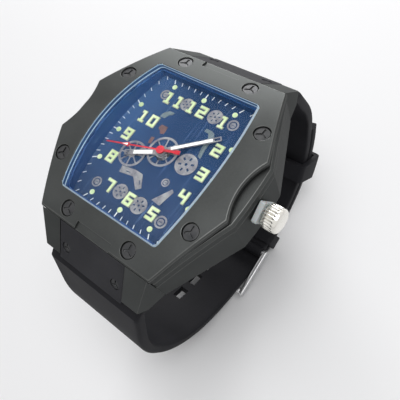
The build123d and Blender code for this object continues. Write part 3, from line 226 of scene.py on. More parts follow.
# %% Shading the bowed faces
BOW_CENTRE = -58.4 * MM      # height of the cylinder's axis
BOW_FACING = 0.996           # a face of the bow turns from it by at most about 5 degrees


def bowed_normals(piece):
    """Shade the bowed faces as one true cylinder."""
    mesh = piece.data
    normals = [Vector(corner.vector) for corner in mesh.corner_normals]
    for face in mesh.polygons:
        radial = Vector((0, face.center.y, face.center.z - BOW_CENTRE)).normalized()
        facing = radial.dot(face.normal)
        if abs(facing) > BOW_FACING:
            way = 1 if facing > 0 else -1
            for loop in face.loop_indices:
                point = mesh.vertices[mesh.loops[loop].vertex_index].co
                normals[loop] = Vector((0, point.y, point.z - BOW_CENTRE)).normalized() * way
    mesh.normals_split_custom_set(normals)


# %% [markdown]
# The big case parts are rounded with the bevel tool, because the modifier would narrow every rounding
# to suit their shortest edge. The tool gives the new faces a material slot of their own, so the edges
# can take a lighter colour.

# %% Rounding with the bevel tool
THIN_SPOTS = [(17.0, 10.5, 11.0), (5.0, 21.0, 9.0)]      # in mm, the same in each quarter
THIN_REACH = 1.3 * MM


def edges_rounded(piece, width):
    """Round the sharp edges, but leave those at thin walls sharp, or the faces would fold over."""
    while len(piece.data.materials) < 2:
        piece.data.materials.append(None)
    edit(piece)
    bpy.ops.mesh.select_mode(type="EDGE")
    bpy.ops.mesh.edges_select_sharp(sharpness=radians(30))
    mesh = bmesh.from_edit_mesh(piece.data)
    for edge in mesh.edges:
        middle = edge_middle(edge)
        mirrored = Vector((abs(middle.x), abs(middle.y), middle.z))
        if any((mirrored - Vector(spot) * MM).length < THIN_REACH for spot in THIN_SPOTS):
            edge.select_set(False)
    mesh.select_flush_mode()
    bmesh.update_edit_mesh(piece.data)
    bpy.ops.mesh.bevel(offset=width, segments=2, affect="EDGES", miter_outer="ARC", material=1)
    clear()


# %% [markdown]
# A CAD node's mesh is loose triangles. A copy has its doubles removed and its flat areas merged, so
# that only real edges are left to round, and a weighted normal keeps the flats flat.

# %% Copying a CAD node
SAME_POINT = 0.002 * MM
FLAT = radians(0.4)


def refined(node, width=0.0, merge=True, by_tool=False, bowed=False):
    """A copy of a CAD node with its triangles merged and its edges rounded."""
    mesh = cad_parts[node].data.copy()
    piece = bpy.data.objects.new(f"{node}_finish", mesh)
    bpy.context.scene.collection.objects.link(piece)
    edit(piece)
    everything()
    bpy.ops.mesh.remove_doubles(threshold=SAME_POINT)
    if merge:
        bpy.ops.mesh.dissolve_limited(angle_limit=FLAT)
    clear()
    if by_tool:
        edges_rounded(piece, width)
    elif width:
        bevelled(piece, width)
    smoothed(piece, 32)
    even = piece.modifiers.new("even_shading", "WEIGHTED_NORMAL")
    even.keep_sharp = True
    bpy.ops.object.modifier_apply(modifier=even.name)
    if bowed:
        bowed_normals(piece)
    return piece


# %% [markdown]
# ## Shared effects
#
# Real surfaces are never one flat value. Two small node groups are shared by the finishes: a fine
# grain and straight brushing lines. Each gives a mask and a height that vary over the surface, and
# the fixed numbers stay on the shader of each finish.

# %% Building with nodes
def set_inputs(node, values):
    """Set a node's inputs by name, where _ stands for a space."""
    for label, value in values.items():
        node.inputs[label.replace("_", " ")].default_value = value
    return node


def added(tree, kind, operation=None, **values):
    """A new shader node with some of its inputs set."""
    node = tree.nodes.new(f"ShaderNode{kind}")
    if operation:
        node.operation = operation
    return set_inputs(node, values)


def new_group(name, inputs):
    """A node group with number inputs, which puts out a mask and a height."""
    group = bpy.data.node_groups.new(name, "ShaderNodeTree")
    for label, value in inputs.items():
        socket = group.interface.new_socket(label, in_out="INPUT", socket_type="NodeSocketFloat")
        socket.default_value = value
    for label in ("Mask", "Height"):
        group.interface.new_socket(label, in_out="OUTPUT", socket_type="NodeSocketFloat")
    return group, group.nodes.new("NodeGroupInput"), group.nodes.new("NodeGroupOutput")


# %% The grain
FINE_SHARE = 0.35            # of the fine noise, added to the clouds


def grain_group():
    """Fine moulded grain, with slow cloudy changes under it."""
    group, start, end = new_group("moulded_grain", {"Scale": 900.0, "Cloud Scale": 60.0})
    place = added(group, "TexCoord")
    fine = added(group, "TexNoise", Detail=3.0)
    cloud = added(group, "TexNoise", Detail=2.0, Roughness=0.6)
    blend = added(group, "Math", "MULTIPLY_ADD")
    blend.inputs[1].default_value = FINE_SHARE
    spread = added(group, "MapRange", From_Min=0.42, From_Max=0.92)
    link = group.links.new
    for noise, label in ((fine, "Scale"), (cloud, "Cloud Scale")):
        link(place.outputs["Object"], noise.inputs["Vector"])
        link(start.outputs[label], noise.inputs["Scale"])
    link(fine.outputs["Fac"], blend.inputs[0])
    link(cloud.outputs["Fac"], blend.inputs[2])
    link(blend.outputs[0], spread.inputs["Value"])
    link(spread.outputs[0], end.inputs["Mask"])
    link(fine.outputs["Fac"], end.inputs["Height"])
    return group


GRAIN = grain_group()


# %% The brushing lines
def brush_group():
    """Straight brushing lines: noise squeezed along one direction."""
    squeezes = {"Along X": 0.05, "Along Y": 1.0}
    group, start, end = new_group("brushing_lines", {"Scale": 1500.0, **squeezes})
    place = added(group, "TexCoord")
    parts = added(group, "SeparateXYZ")
    whole = added(group, "CombineXYZ")
    link = group.links.new
    link(place.outputs["Object"], parts.inputs[0])
    for label in squeezes:
        axis = label[-1]
        squeeze = added(group, "Math", "MULTIPLY")
        link(parts.outputs[axis], squeeze.inputs[0])
        link(start.outputs[label], squeeze.inputs[1])
        link(squeeze.outputs[0], whole.inputs[axis])
    link(parts.outputs["Z"], whole.inputs["Z"])
    lines = added(group, "TexNoise", Detail=2.0)
    link(whole.outputs[0], lines.inputs["Vector"])
    link(start.outputs["Scale"], lines.inputs["Scale"])
    for label in ("Mask", "Height"):
        link(lines.outputs["Fac"], end.inputs[label])
    return group


BRUSH = brush_group()
print("node groups", [group.name for group in (GRAIN, BRUSH)])

# %% [markdown]
# ## Finishes
#
# One function builds the plain kind of finish: a base colour that drifts towards a second colour, a
# roughness that drifts with it, and a fine bump. Its parts are small functions, since the blue and the
# glass below are made of the same ones.

# %% Parts of a finish
def new_material(name):
    """A new material, with its node tree and its shader."""
    material = bpy.data.materials.new(name)
    material.use_nodes = True
    return material, material.node_tree, material.node_tree.nodes["Principled BSDF"]


def placed(tree, effect, **values):
    """A shared effect, placed in a material with its own values."""
    pattern = tree.nodes.new("ShaderNodeGroup")
    pattern.node_tree = effect
    return set_inputs(pattern, values)


def mixed(tree, first, second, factor):
    """Mix two colours, each a fixed one or another node's output."""
    mix = tree.nodes.new("ShaderNodeMix")
    mix.data_type = "RGBA"
    for socket, colour in (("A", first), ("B", second)):
        if isinstance(colour, tuple):
            mix.inputs[socket].default_value = (*colour, 1)
        else:
            tree.links.new(colour, mix.inputs[socket])
    tree.links.new(factor, mix.inputs["Factor"])
    return mix.outputs["Result"]


def roughened(tree, shader, mask, low, high):
    """Let a mask move the roughness between two values."""
    gloss = added(tree, "MapRange", To_Min=low, To_Max=high)
    tree.links.new(mask, gloss.inputs["Value"])
    tree.links.new(gloss.outputs[0], shader.inputs["Roughness"])


# %% The general finish
RELIEF_DEPTH = 0.04 * MM


def finish(name, colour, second, rough, bump, scale=900.0, cloud=60.0, effect=None, **fixed):
    """A finish whose colour and roughness follow one of the shared effects."""
    material, tree, shader = new_material(name)
    link = tree.links.new
    set_inputs(shader, fixed)
    pattern = placed(tree, effect or GRAIN, Scale=scale)
    if not effect:
        set_inputs(pattern, {"Cloud Scale": cloud})
    tint = mixed(tree, colour, second, pattern.outputs["Mask"])
    link(tint, shader.inputs["Base Color"])
    roughened(tree, shader, pattern.outputs["Mask"], *rough)
    relief = added(tree, "Bump", Strength=bump, Distance=RELIEF_DEPTH)
    link(pattern.outputs["Height"], relief.inputs["Height"])
    link(relief.outputs[0], shader.inputs["Normal"])
    return material


# %% [markdown]
# The case is a satin black coat over metal: charcoal rather than true black, with a soft sheen, and
# a little lighter along its rounded edges. The screws are darkened steel, the buckle is satin
# steel, the crown is polished, and the clip is milky plastic.

# %% Case finishes
DARK_SHEEN = (0.3, 0.3, 0.3, 1)
LIGHTER_SHEEN = (0.4, 0.4, 0.4, 1)
case_black = finish("satin_black_case", (0.056, 0.059, 0.058), (0.076, 0.080, 0.079), (0.38, 0.48), 0.15,
                    scale=2600, cloud=90, Metallic=0.75, Specular_Tint=DARK_SHEEN)
case_edge = finish("lighter_case_edges", (0.085, 0.088, 0.086), (0.125, 0.128, 0.125), (0.32, 0.44), 0.1,
                   scale=1800, cloud=260, Metallic=0.8, Specular_Tint=LIGHTER_SHEEN)
plate_black = finish("satin_black_plates", (0.038, 0.038, 0.042), (0.052, 0.052, 0.057), (0.42, 0.52), 0.2,
                     scale=2400, cloud=120, Metallic=0.75, Specular_Tint=DARK_SHEEN)
screw_black = finish("blackened_screw_heads", (0.055, 0.057, 0.060), (0.085, 0.085, 0.087), (0.30, 0.42), 0.2,
                     scale=1500, cloud=400, Metallic=0.8, Specular_Tint=LIGHTER_SHEEN)
back_steel = finish("brushed_case_back", (0.36, 0.36, 0.37), (0.5, 0.5, 0.5), (0.28, 0.42), 0.25,
                    scale=2200, effect=BRUSH, Metallic=1.0)
buckle_steel = finish("satin_buckle", (0.50, 0.50, 0.51), (0.64, 0.64, 0.64), (0.28, 0.34), 0.02,
                      scale=500, cloud=120, Metallic=0.9)
crown_silver = finish("polished_crown", (0.76, 0.74, 0.69), (0.88, 0.86, 0.80), (0.18, 0.24), 0.01,
                      scale=300, cloud=120, Metallic=0.9)
clip_plastic = finish("milky_clip", (0.42, 0.45, 0.455), (0.54, 0.57, 0.575), (0.35, 0.5), 0.2,
                      scale=1500, cloud=160, Subsurface_Weight=0.15, Subsurface_Scale=0.0006)
rubber_black = finish("strap_rubber", (0.009, 0.009, 0.011), (0.017, 0.017, 0.020), (0.58, 0.70), 0.3,
                      scale=2000, cloud=80, Specular_IOR_Level=0.12)
seal_black = finish("seal_rubber", (0.02, 0.02, 0.022), (0.03, 0.03, 0.032), (0.5, 0.65), 0.3)
seal_blue = finish("crystal_seal", (0.02, 0.06, 0.17), (0.03, 0.09, 0.24), (0.4, 0.5), 0.2)

# %% [markdown]
# On the dial the numerals are pale green in grey-green rims, the openwork is grey metal, and the hands
# hold white bars. The luminous paint gets a faint glow of its own, a painted light that keeps it bright
# under the crystal.

# %% Dial finishes
print_white = finish("printed_white", (0.72, 0.76, 0.74), (0.84, 0.86, 0.84), (0.45, 0.55), 0.1, scale=3000)
numeral_rim = finish("numeral_rims", (0.34, 0.37, 0.25), (0.50, 0.54, 0.38), (0.35, 0.5), 0.2,
                     scale=2500, cloud=900)
# its emission is a painted glow that keeps the green lume bright under the crystal
lume_green = finish("pale_green_lume", (0.52, 0.66, 0.30), (0.74, 0.82, 0.52), (0.55, 0.7), 0.3,
                    scale=2600, cloud=700, Emission_Color=(0.5, 0.75, 0.3, 1), Emission_Strength=0.04)
openwork_grey = finish("openwork_grey", (0.16, 0.16, 0.19), (0.44, 0.43, 0.42), (0.30, 0.45), 0.3,
                       scale=2500, cloud=500, Metallic=0.45)
hand_frame = finish("hand_frames", (0.20, 0.19, 0.20), (0.42, 0.41, 0.42), (0.25, 0.4), 0.15,
                    scale=2000, cloud=500, Metallic=0.5)
# its emission is a painted glow that keeps the white lume bright under the crystal
lume_white = finish("white_lume", (0.80, 0.80, 0.76), (0.92, 0.92, 0.88), (0.5, 0.6), 0.2,
                    scale=3000, cloud=600, Emission_Color=(1, 1, 0.95, 1), Emission_Strength=0.2)
seconds_red = finish("seconds_red", (0.52, 0.008, 0.022), (0.66, 0.02, 0.04), (0.28, 0.4), 0.1,
                     scale=2500, cloud=600)

# %% [markdown]
# Little of the movement shows, so a few plain finishes do: brass, steel, dark plastic, a green board
# and copper wire.

# %% Movement finishes
train_brass = finish("train_brass", (0.58, 0.42, 0.17), (0.72, 0.56, 0.26), (0.25, 0.4), 0.25,
                     scale=1800, effect=BRUSH, Metallic=1.0)
train_steel = finish("train_steel", (0.45, 0.45, 0.46), (0.62, 0.62, 0.63), (0.22, 0.36), 0.2,
                     scale=1800, effect=BRUSH, Metallic=1.0)
holder_plastic = finish("holder_plastic", (0.06, 0.06, 0.065), (0.1, 0.1, 0.105), (0.5, 0.6), 0.3)
board_green = finish("circuit_green", (0.02, 0.10, 0.05), (0.04, 0.16, 0.08), (0.3, 0.45), 0.3, cloud=500)
coil_copper = finish("coil_copper", (0.45, 0.17, 0.06), (0.62, 0.28, 0.12), (0.25, 0.4), 0.8,
                     scale=4000, effect=BRUSH, Metallic=0.9)
print("finishes so far", len(bpy.data.materials))

# %% [markdown]
# The dial and the wall round it are deep blue. Low down the blue turns violet, under faint streaks,
# and it is painted lighter towards 9 o'clock: painted light where the bezel's wall shades the dial.
# A painted picture could carry this, but two smooth steps along X and Y are easier to adjust, so the
# colour follows the place on the dial.

# %% The dial's blue
def blue_finish(name, light, deep, violet, streak, rough):
    """A blue painted lighter towards -X as painted light, violet towards -Y, with brushed streaks over it."""
    material, tree, shader = new_material(name)
    link = tree.links.new
    set_inputs(shader, {"Specular IOR Level": 0.12})
    place = added(tree, "TexCoord")
    parts = added(tree, "SeparateXYZ")
    link(place.outputs["Object"], parts.inputs[0])

    def across(axis, low, high):
        """How far along one direction, from 0 to 1."""
        share = added(tree, "MapRange", From_Min=low, From_Max=high)
        share.interpolation_type = "SMOOTHSTEP"
        link(parts.outputs[axis], share.inputs["Value"])
        return share.outputs[0]

    # painted light: the blue is lighter towards 9 o'clock, where the bezel shades it
    base = mixed(tree, light, deep, across("X", -16 * MM, -1 * MM))
    base = mixed(tree, violet, base, across("Y", -14 * MM, 4 * MM))
    lines = placed(tree, BRUSH, Scale=2200, Along_X=1.0, Along_Y=0.06)
    peaks = added(tree, "MapRange", From_Min=0.60, From_Max=0.78, To_Max=0.55)
    link(lines.outputs["Mask"], peaks.inputs["Value"])
    base = mixed(tree, base, streak, peaks.outputs[0])
    link(base, shader.inputs["Base Color"])
    roughened(tree, shader, lines.outputs["Mask"], rough, rough + 0.12)
    return material


# in both blues the first colour is the painted light towards 9 o'clock
dial_blue = blue_finish("dial_blue", (0.052, 0.116, 0.250), (0.016, 0.048, 0.122), (0.030, 0.060, 0.130),
                        (0.12, 0.20, 0.36), 0.42)
wall_blue = blue_finish("wall_blue", (0.055, 0.14, 0.33), (0.022, 0.075, 0.20), (0.05, 0.11, 0.27),
                        (0.12, 0.24, 0.46), 0.3)
print("blues", dial_blue.name, wall_blue.name)

# %% [markdown]
# The crystal is clear mineral glass. Its ground bevel is rough, and painted pale blue as a painted
# highlight, which shows as a pale blue line round the dial. Its index is below that of real glass, which
# would mirror the soft lamps over the dial.

# %% Glass
GLASS_IOR = 1.12


def glass_finish(name, tint, rough, clearness):
    """Clear or ground glass, with a slight smear in its roughness."""
    material, tree, shader = new_material(name)
    set_inputs(shader, {"Base Color": (*tint, 1), "Transmission Weight": clearness, "IOR": GLASS_IOR})
    smear = placed(tree, GRAIN, Scale=300)
    roughened(tree, shader, smear.outputs["Mask"], rough, rough + 0.03)
    return material


crystal_clear = glass_finish("crystal_clear", (0.97, 0.985, 1.0), 0.0, 1.0)
# the bevel's pale blue is a painted highlight; its roughness is that of ground glass
crystal_bevel_highlight = glass_finish("crystal_bevel_painted_highlight", (0.66, 0.80, 0.90), 0.35, 0.25)
# the crystal's side: its pale lines are painted light and its deep blue a painted reflection, set below
crystal_side_glow = glass_finish("crystal_side_painted_glow", (0.05, 0.13, 0.30), 0.40, 0.15)
print("glasses", crystal_clear.name, crystal_bevel_highlight.name, crystal_side_glow.name)

# %% [markdown]
# The edges of the crystal's side gather the light that runs inside the glass. A render would need far
# more samples to find that light, so the edges shine a little by themselves, as pale painted light.
# Between them the side is painted deep blue, a painted reflection of the dial, which glows faintly too.
# The distance from the bow's axis tells how far down the side a point lies, and a colour ramp makes two
# pale lines of it.

# %% Painted light on the crystal's side
GLASS_TOP = 71.55 * MM       # distances of the two big faces from the bow's axis
GLASS_BOTTOM = 69.7 * MM
SIDE_GLOW = 0.16


def paint_side_glow(material, pale, deep):
    """Paint the side with pale painted light along both edges and a painted reflection in deep blue between.
    """
    tree = material.node_tree
    link = tree.links.new
    shader = tree.nodes["Principled BSDF"]
    place = added(tree, "TexCoord")
    shifted = added(tree, "VectorMath", "SUBTRACT")
    shifted.inputs[1].default_value = (0, 0, BOW_CENTRE)
    flat = added(tree, "VectorMath", "MULTIPLY")
    flat.inputs[1].default_value = (0, 1, 1)
    reach = added(tree, "VectorMath", "LENGTH")
    share = added(tree, "MapRange", From_Min=GLASS_BOTTOM, From_Max=GLASS_TOP)
    ramp = added(tree, "ValToRGB")
    stops = ramp.color_ramp.elements
    stops[0].position, stops[0].color = 0.16, (*pale, 1)
    stops[1].position, stops[1].color = 0.26, (*deep, 1)
    for position, colour in ((0.60, deep), (0.70, pale)):
        stops.new(position).color = (*colour, 1)
    link(place.outputs["Object"], shifted.inputs[0])
    link(shifted.outputs["Vector"], flat.inputs[0])
    link(flat.outputs["Vector"], reach.inputs[0])
    link(reach.outputs["Value"], share.inputs["Value"])
    link(share.outputs[0], ramp.inputs["Fac"])
    for label in ("Base Color", "Emission Color"):
        link(ramp.outputs["Color"], shader.inputs[label])
    set_inputs(shader, {"Emission Strength": SIDE_GLOW})


# pale painted light along the side's edges, and a painted reflection of the dial in deep blue between
paint_side_glow(crystal_side_glow, (0.66, 0.86, 1.0), (0.04, 0.11, 0.26))
print("crystal thickness in mm", round((GLASS_TOP - GLASS_BOTTOM) / MM, 2))

# %% [markdown]
# ## Case
#
# The case is a stack: a bowed bezel with eight screws, a second ring, the band with its horns, and
# plates that clamp the strap. The CAD model already has their shapes, so modelling them again would
# gain nothing. Each is a refined copy, with the small rounding that catches the light on a coated
# part. The clip and the plates are rounded with the modifier, and all the others by the tool.

# %% Bezel, ring, band and plates
case_parts = {      # rounding in mm, finish, export slot, rounded by the tool, bowed faces
    "bezel": (0.10, case_black, "case_black", True, True),
    "upper_case_ring": (0.08, case_black, "case_black", True, True),
    "case_band": (0.06, case_black, "case_black", True, True),
    "end_plate_12": (0.10, plate_black, "case_black", False, False),
    "end_plate_6": (0.10, plate_black, "case_black", False, False),
    "case_back": (0.08, back_steel, "back_steel", True, False),
    "bezel_screws": (0.05, screw_black, "screw_steel", True, False),
    "end_plate_screws": (0.04, screw_black, "screw_steel", True, False),
    "crown_clip": (0.22, clip_plastic, "clip_plastic", False, False),
    "buckle_tongue": (0.15, buckle_steel, "buckle_steel", True, False),
}
case_bodies = {"crown_clip": "clip", "buckle_tongue": "tongue"}
for node, (width, material, slot, by_tool, bowed) in case_parts.items():
    piece = refined(node, width * MM, by_tool=by_tool, bowed=bowed)
    edge = case_edge if material == case_black else None
    dressed(piece, material, case_bodies.get(node, "case"), slot, node, edge=edge)
    print(node, len(piece.data.polygons), "faces")
dressed(refined("chapter_ring", merge=False), wall_blue, "case", "chapter_blue", "chapter_ring")

# %% [markdown]
# ## Crystal
#
# A copy of the solid's triangles would bend the view of the dial, so the crystal is built on a regular
# grid: the flat grid is extruded down, then all its points move to the barrel outline and up onto the
# bow. The corners are rounded, and the ground bevel is made last and gets its own material, whose pale
# blue is a painted highlight.

# %% The crystal's outline
GLASS_WIDTH = 12.6 * MM       # half width at both ends
GLASS_MIDDLE = 14.8 * MM      # half width in the middle
GLASS_LENGTH = 16.2 * MM      # half length


def glass_half_width(y):
    """Half width of the barrel outline at a place along it: an arc through the ends and the middle."""
    rise = GLASS_MIDDLE - GLASS_WIDTH
    radius = (GLASS_LENGTH ** 2 + rise ** 2) / (2 * rise)
    return GLASS_MIDDLE - radius + (radius ** 2 - y ** 2) ** 0.5


def bow_height(y, radius):
    """Height of a bowed face at a place along it."""
    return BOW_CENTRE + (radius ** 2 - y ** 2) ** 0.5


# %% The crystal's body
GLASS_COLUMNS = 36           # fine enough for the bow and the barrel outline to look smooth
GLASS_ROWS = 44
clear()
bpy.ops.mesh.primitive_grid_add(x_subdivisions=GLASS_COLUMNS, y_subdivisions=GLASS_ROWS, size=2)
crystal = bpy.context.object
crystal.name = "crystal_glass"
edit(crystal)
everything()
extruded(z=-1)
clear()
for point in crystal.data.vertices:
    y = point.co.y * GLASS_LENGTH
    x = point.co.x * glass_half_width(y)
    radius = GLASS_TOP if point.co.z > -0.5 else GLASS_BOTTOM
    point.co = (x, y, bow_height(y, radius))

# %% [markdown]
# The four upright corner edges are picked by where they lie, and the top's outer edges by how sharply
# their faces meet. Afterwards the slant of each face tells whether it is top, bevel or side.

# %% The crystal's edges
CORNER_REACH = 0.05 * MM
TOP_REACH = 0.1 * MM
GLASS_CORNER = 0.9 * MM
GROUND_BEVEL = 0.25 * MM
SIDE_SLANT = 0.25             # cosines of a face's turn from the bow: 1 lies in it, 0 is upright
BEVEL_SLANT = 0.95


def at_glass_corner(at, _):
    return near(abs(at.x), GLASS_WIDTH, CORNER_REACH) and near(abs(at.y), GLASS_LENGTH, CORNER_REACH)


edit(crystal)
pick(crystal, at_glass_corner, "EDGE")
bpy.ops.mesh.bevel(offset=GLASS_CORNER, segments=5, affect="EDGES")
bpy.ops.mesh.select_mode(type="EDGE")
glass_mesh = bmesh.from_edit_mesh(crystal.data)
for edge in glass_mesh.edges:
    middle = edge_middle(edge)
    on_top = middle.z > bow_height(middle.y, GLASS_TOP) - TOP_REACH
    edge.select_set(edge.calc_face_angle(0) > radians(60) and on_top)
bmesh.update_edit_mesh(crystal.data)
bpy.ops.mesh.bevel(offset=GROUND_BEVEL, segments=1, affect="EDGES", miter_outer="ARC")
turned_outwards()
clear()
smoothed(crystal, 25)
dressed(crystal, crystal_clear, "case", "crystal", "crystal")
# the bevel's material, with its pale blue painted highlight
crystal.data.materials.append(crystal_bevel_highlight)
crystal.data.materials.append(crystal_side_glow)
# the side's faces take the painted glow and reflection, and the bevel's faces the painted highlight
for face in crystal.data.polygons:
    radial = Vector((0, face.center.y, face.center.z - BOW_CENTRE)).normalized()
    slant = radial.dot(face.normal)
    if abs(slant) < SIDE_SLANT:
        face.material_index = 2
    elif 0 < slant < BEVEL_SLANT:
        face.material_index = 1
print("crystal faces", len(crystal.data.polygons))

# %% [markdown]
# ## Wrapping the strap
#
# The strap is moulded rubber that narrows towards the wrist's underside, and its tail has a row of
# slots. It could be swept round the closed loop, but slots and round edges are easier to make in a
# flat strap. Along the flat strap, a distance is measured on its outer surface from where it leaves
# the case, and a height is measured from that surface outward. The functions here give the place and
# the outward direction at each distance, so that the flat model is wrapped round in one step.

# %% The loop's arcs
SIDE_RADIUS = 26.0 * MM       # of the arcs beside the wrist
BASE_RADIUS = 40.8 * MM       # of the arc under the wrist
BASE_CENTRE_Z = -4.2 * MM
SHOULDER = radians(21.5)      # directions are measured from 12 o'clock towards the crystal
SIDE_END = radians(-60)
OTHER_START = radians(-120)
TAIL_TIP = radians(-171)
BAR_TURN = radians(5.5 - 90)
RAMP_FIRST = radians(12 - 90)     # between these two the tail climbs onto the other half
RAMP_LAST = radians(-5 - 90)
CENTRES_APART = BASE_RADIUS - SIDE_RADIUS
BASE_CENTRE = Vector((0, 0, BASE_CENTRE_Z))
SIDE_CENTRE = Vector((0, CENTRES_APART * cos(SIDE_END), BASE_CENTRE_Z + CENTRES_APART * sin(SIDE_END)))
OTHER_CENTRE = Vector((0, -SIDE_CENTRE.y, SIDE_CENTRE.z))


def outward(angle):
    """The direction that lies at an angle from 12 o'clock."""
    return Vector((0, cos(angle), sin(angle)))


# %% The strap's sizes
STRAP_THICK = 2.4 * MM
TAIL_THICK = 2.3 * MM
TAIL_RISE = 2.4 * MM          # how far the tail lies outside the other half
TOP_HALF = 13.0 * MM          # half width at the case
BASE_HALF = 11.0 * MM         # half width under the wrist
TAPER_TOP = 2.0 * MM          # heights between which the strap narrows
TAPER_END = -22.0 * MM
SHOULDER_TOP = 1.4 * MM       # height at which the strap leaves the case
PLATE_TOP = Vector((0, 21.56, 9.35)) * MM
PLATE_SLOPE = Vector((0, 27.55 - 21.56, 2.2 - 9.35)).normalized()
PLATE_SQUARE = Vector((0, -PLATE_SLOPE.z, PLATE_SLOPE.y))
PLATE_LONG = 9.3 * MM
TONGUE_DEPTH = 1.25 * MM      # the strap's end is a tongue under the plate
TONGUE_LONG = 7.85 * MM
TONGUE_HALF = 8.88 * MM
SIDE_TOP = SIDE_CENTRE + outward(SHOULDER) * SIDE_RADIUS
SHOULDER_RUN = (SHOULDER_TOP - SIDE_TOP.z) / cos(SHOULDER)
SIDE_LONG = SIDE_RADIUS * (SHOULDER - SIDE_END)
BASE_START = SHOULDER_RUN + SIDE_LONG
OTHER_SIDE_START = BASE_START + BASE_RADIUS * (SIDE_END - OTHER_START)
BUCKLE_HALF_LONG = BASE_START + BASE_RADIUS * (SIDE_END - BAR_TURN)
TAIL_HALF_LONG = OTHER_SIDE_START + (SIDE_RADIUS + TAIL_RISE) * (OTHER_START - TAIL_TIP)
print("strap halves in mm", round(BUCKLE_HALF_LONG / MM, 1), round(TAIL_HALF_LONG / MM, 1))


# %% Places along the loop
def eased(share):
    """A smooth step from 0 to 1."""
    share = min(max(share, 0.0), 1.0)
    return share * share * (3 - 2 * share)


def loop_place(distance, tail):
    """Place on the strap's outer surface and its outward direction, for the half at 12 o'clock."""
    if distance < 0:
        place = PLATE_TOP + PLATE_SLOPE * (PLATE_LONG + distance) - PLATE_SQUARE * TONGUE_DEPTH
        return place, PLATE_SQUARE
    if distance < SHOULDER_RUN:
        lean = outward(SHOULDER)
        up = Vector((0, -lean.z, lean.y))
        return SIDE_TOP + up * (SHOULDER_RUN - distance), lean
    distance -= SHOULDER_RUN
    if distance < SIDE_LONG:
        out = outward(SHOULDER - distance / SIDE_RADIUS)
        return SIDE_CENTRE + out * SIDE_RADIUS, out
    distance -= SIDE_LONG
    angle = SIDE_END - distance / BASE_RADIUS
    if not tail or angle > OTHER_START:
        out = outward(angle)
        rise = TAIL_RISE * eased((RAMP_FIRST - angle) / (RAMP_FIRST - RAMP_LAST)) if tail else 0.0
        return BASE_CENTRE + out * (BASE_RADIUS + rise), out
    distance -= BASE_RADIUS * (SIDE_END - OTHER_START)
    radius = SIDE_RADIUS + TAIL_RISE
    out = outward(OTHER_START - distance / radius)
    return OTHER_CENTRE + out * radius, out


# %% Wrapping a flat model
def half_width(z):
    """Half the strap's width at a height: it narrows from the case to the wrist's underside."""
    share = min(max((TAPER_TOP - z) / (TAPER_TOP - TAPER_END), 0.0), 1.0)
    return TOP_HALF + (BASE_HALF - TOP_HALF) * share


def wrapped(piece, tail):
    """Move a flat model, with distance along Y and height along Z, onto the loop.

    The tail belongs to the half at 6 o'clock, so its places are mirrored.
    """
    for point in piece.data.vertices:
        place, out = loop_place(point.co.y, tail)
        x = point.co.x * half_width(place.z) / TOP_HALF if point.co.y >= 0 else point.co.x
        point.co = place + out * point.co.z + Vector((x, 0, 0))
        if tail:
            point.co.y = -point.co.y
    edit(piece)
    turned_outwards()
    clear()


# %% [markdown]
# A strap half starts as one row of points across its width, which is extruded along the length line
# by line. Faces are deleted where the slots go, the sheet is extruded to its thickness, and its edges
# are rounded while it is still flat.

# %% Lines of the flat strap
SLOT_HALF = 1.4 * MM
SLOT_LONG = 3.8 * MM
TONGUE_GAP = 0.02 * MM        # the width steps down to the tongue's over this length
LINE_STEP = 1.3 * MM
CROWDED = 0.35                # of a step: a line closer than this to an extra one is left out
ACROSS = (SLOT_HALF, 5.0 * MM, TONGUE_HALF, 11.4 * MM, TOP_HALF)


def grid_lines(low, high, step, extra):
    """Evenly spaced lines from low to high, with extra ones where an edge has to lie."""
    count = max(1, round((high - low) / step))
    lines = [low + (high - low) * index / count for index in range(count + 1)]
    kept_lines = [line for line in lines if all(abs(line - other) > step * CROWDED for other in extra)]
    return sorted(kept_lines + extra)


def flat_sheet(name, long, slots):
    """The flat strap half without thickness, in edit mode."""
    ends = [middle + side * SLOT_LONG / 2 for middle in slots for side in (-1, 1)]
    lines = sorted({-TONGUE_LONG, -TONGUE_GAP, *grid_lines(0.0, long, LINE_STEP, sorted([0.0] + ends))})
    clear()
    bpy.ops.mesh.primitive_grid_add(x_subdivisions=2 * len(ACROSS) - 1, y_subdivisions=1, size=2)
    strap = bpy.context.object
    strap.name = name
    edit(strap)
    pick(strap, lambda at, _: at.y > 0, "VERT")      # the grid has two rows, and one is enough
    bpy.ops.mesh.delete(type="VERT")
    clear()
    row = sorted(strap.data.vertices, key=lambda point: point.co.x)
    for point, x in zip(row, sorted(side * line for line in ACROSS for side in (-1, 1))):
        point.co = (x, lines[0], 0)
    edit(strap)
    everything()
    for first, second in zip(lines, lines[1:]):
        extruded(y=second - first)
    return strap


# %% Slots, thickness and rounding
OUTER_ROUND = 0.85 * MM
INNER_ROUND = 0.45 * MM
SLOT_ROUND = 0.25 * MM
TIP_ROUND = 0.5 * MM


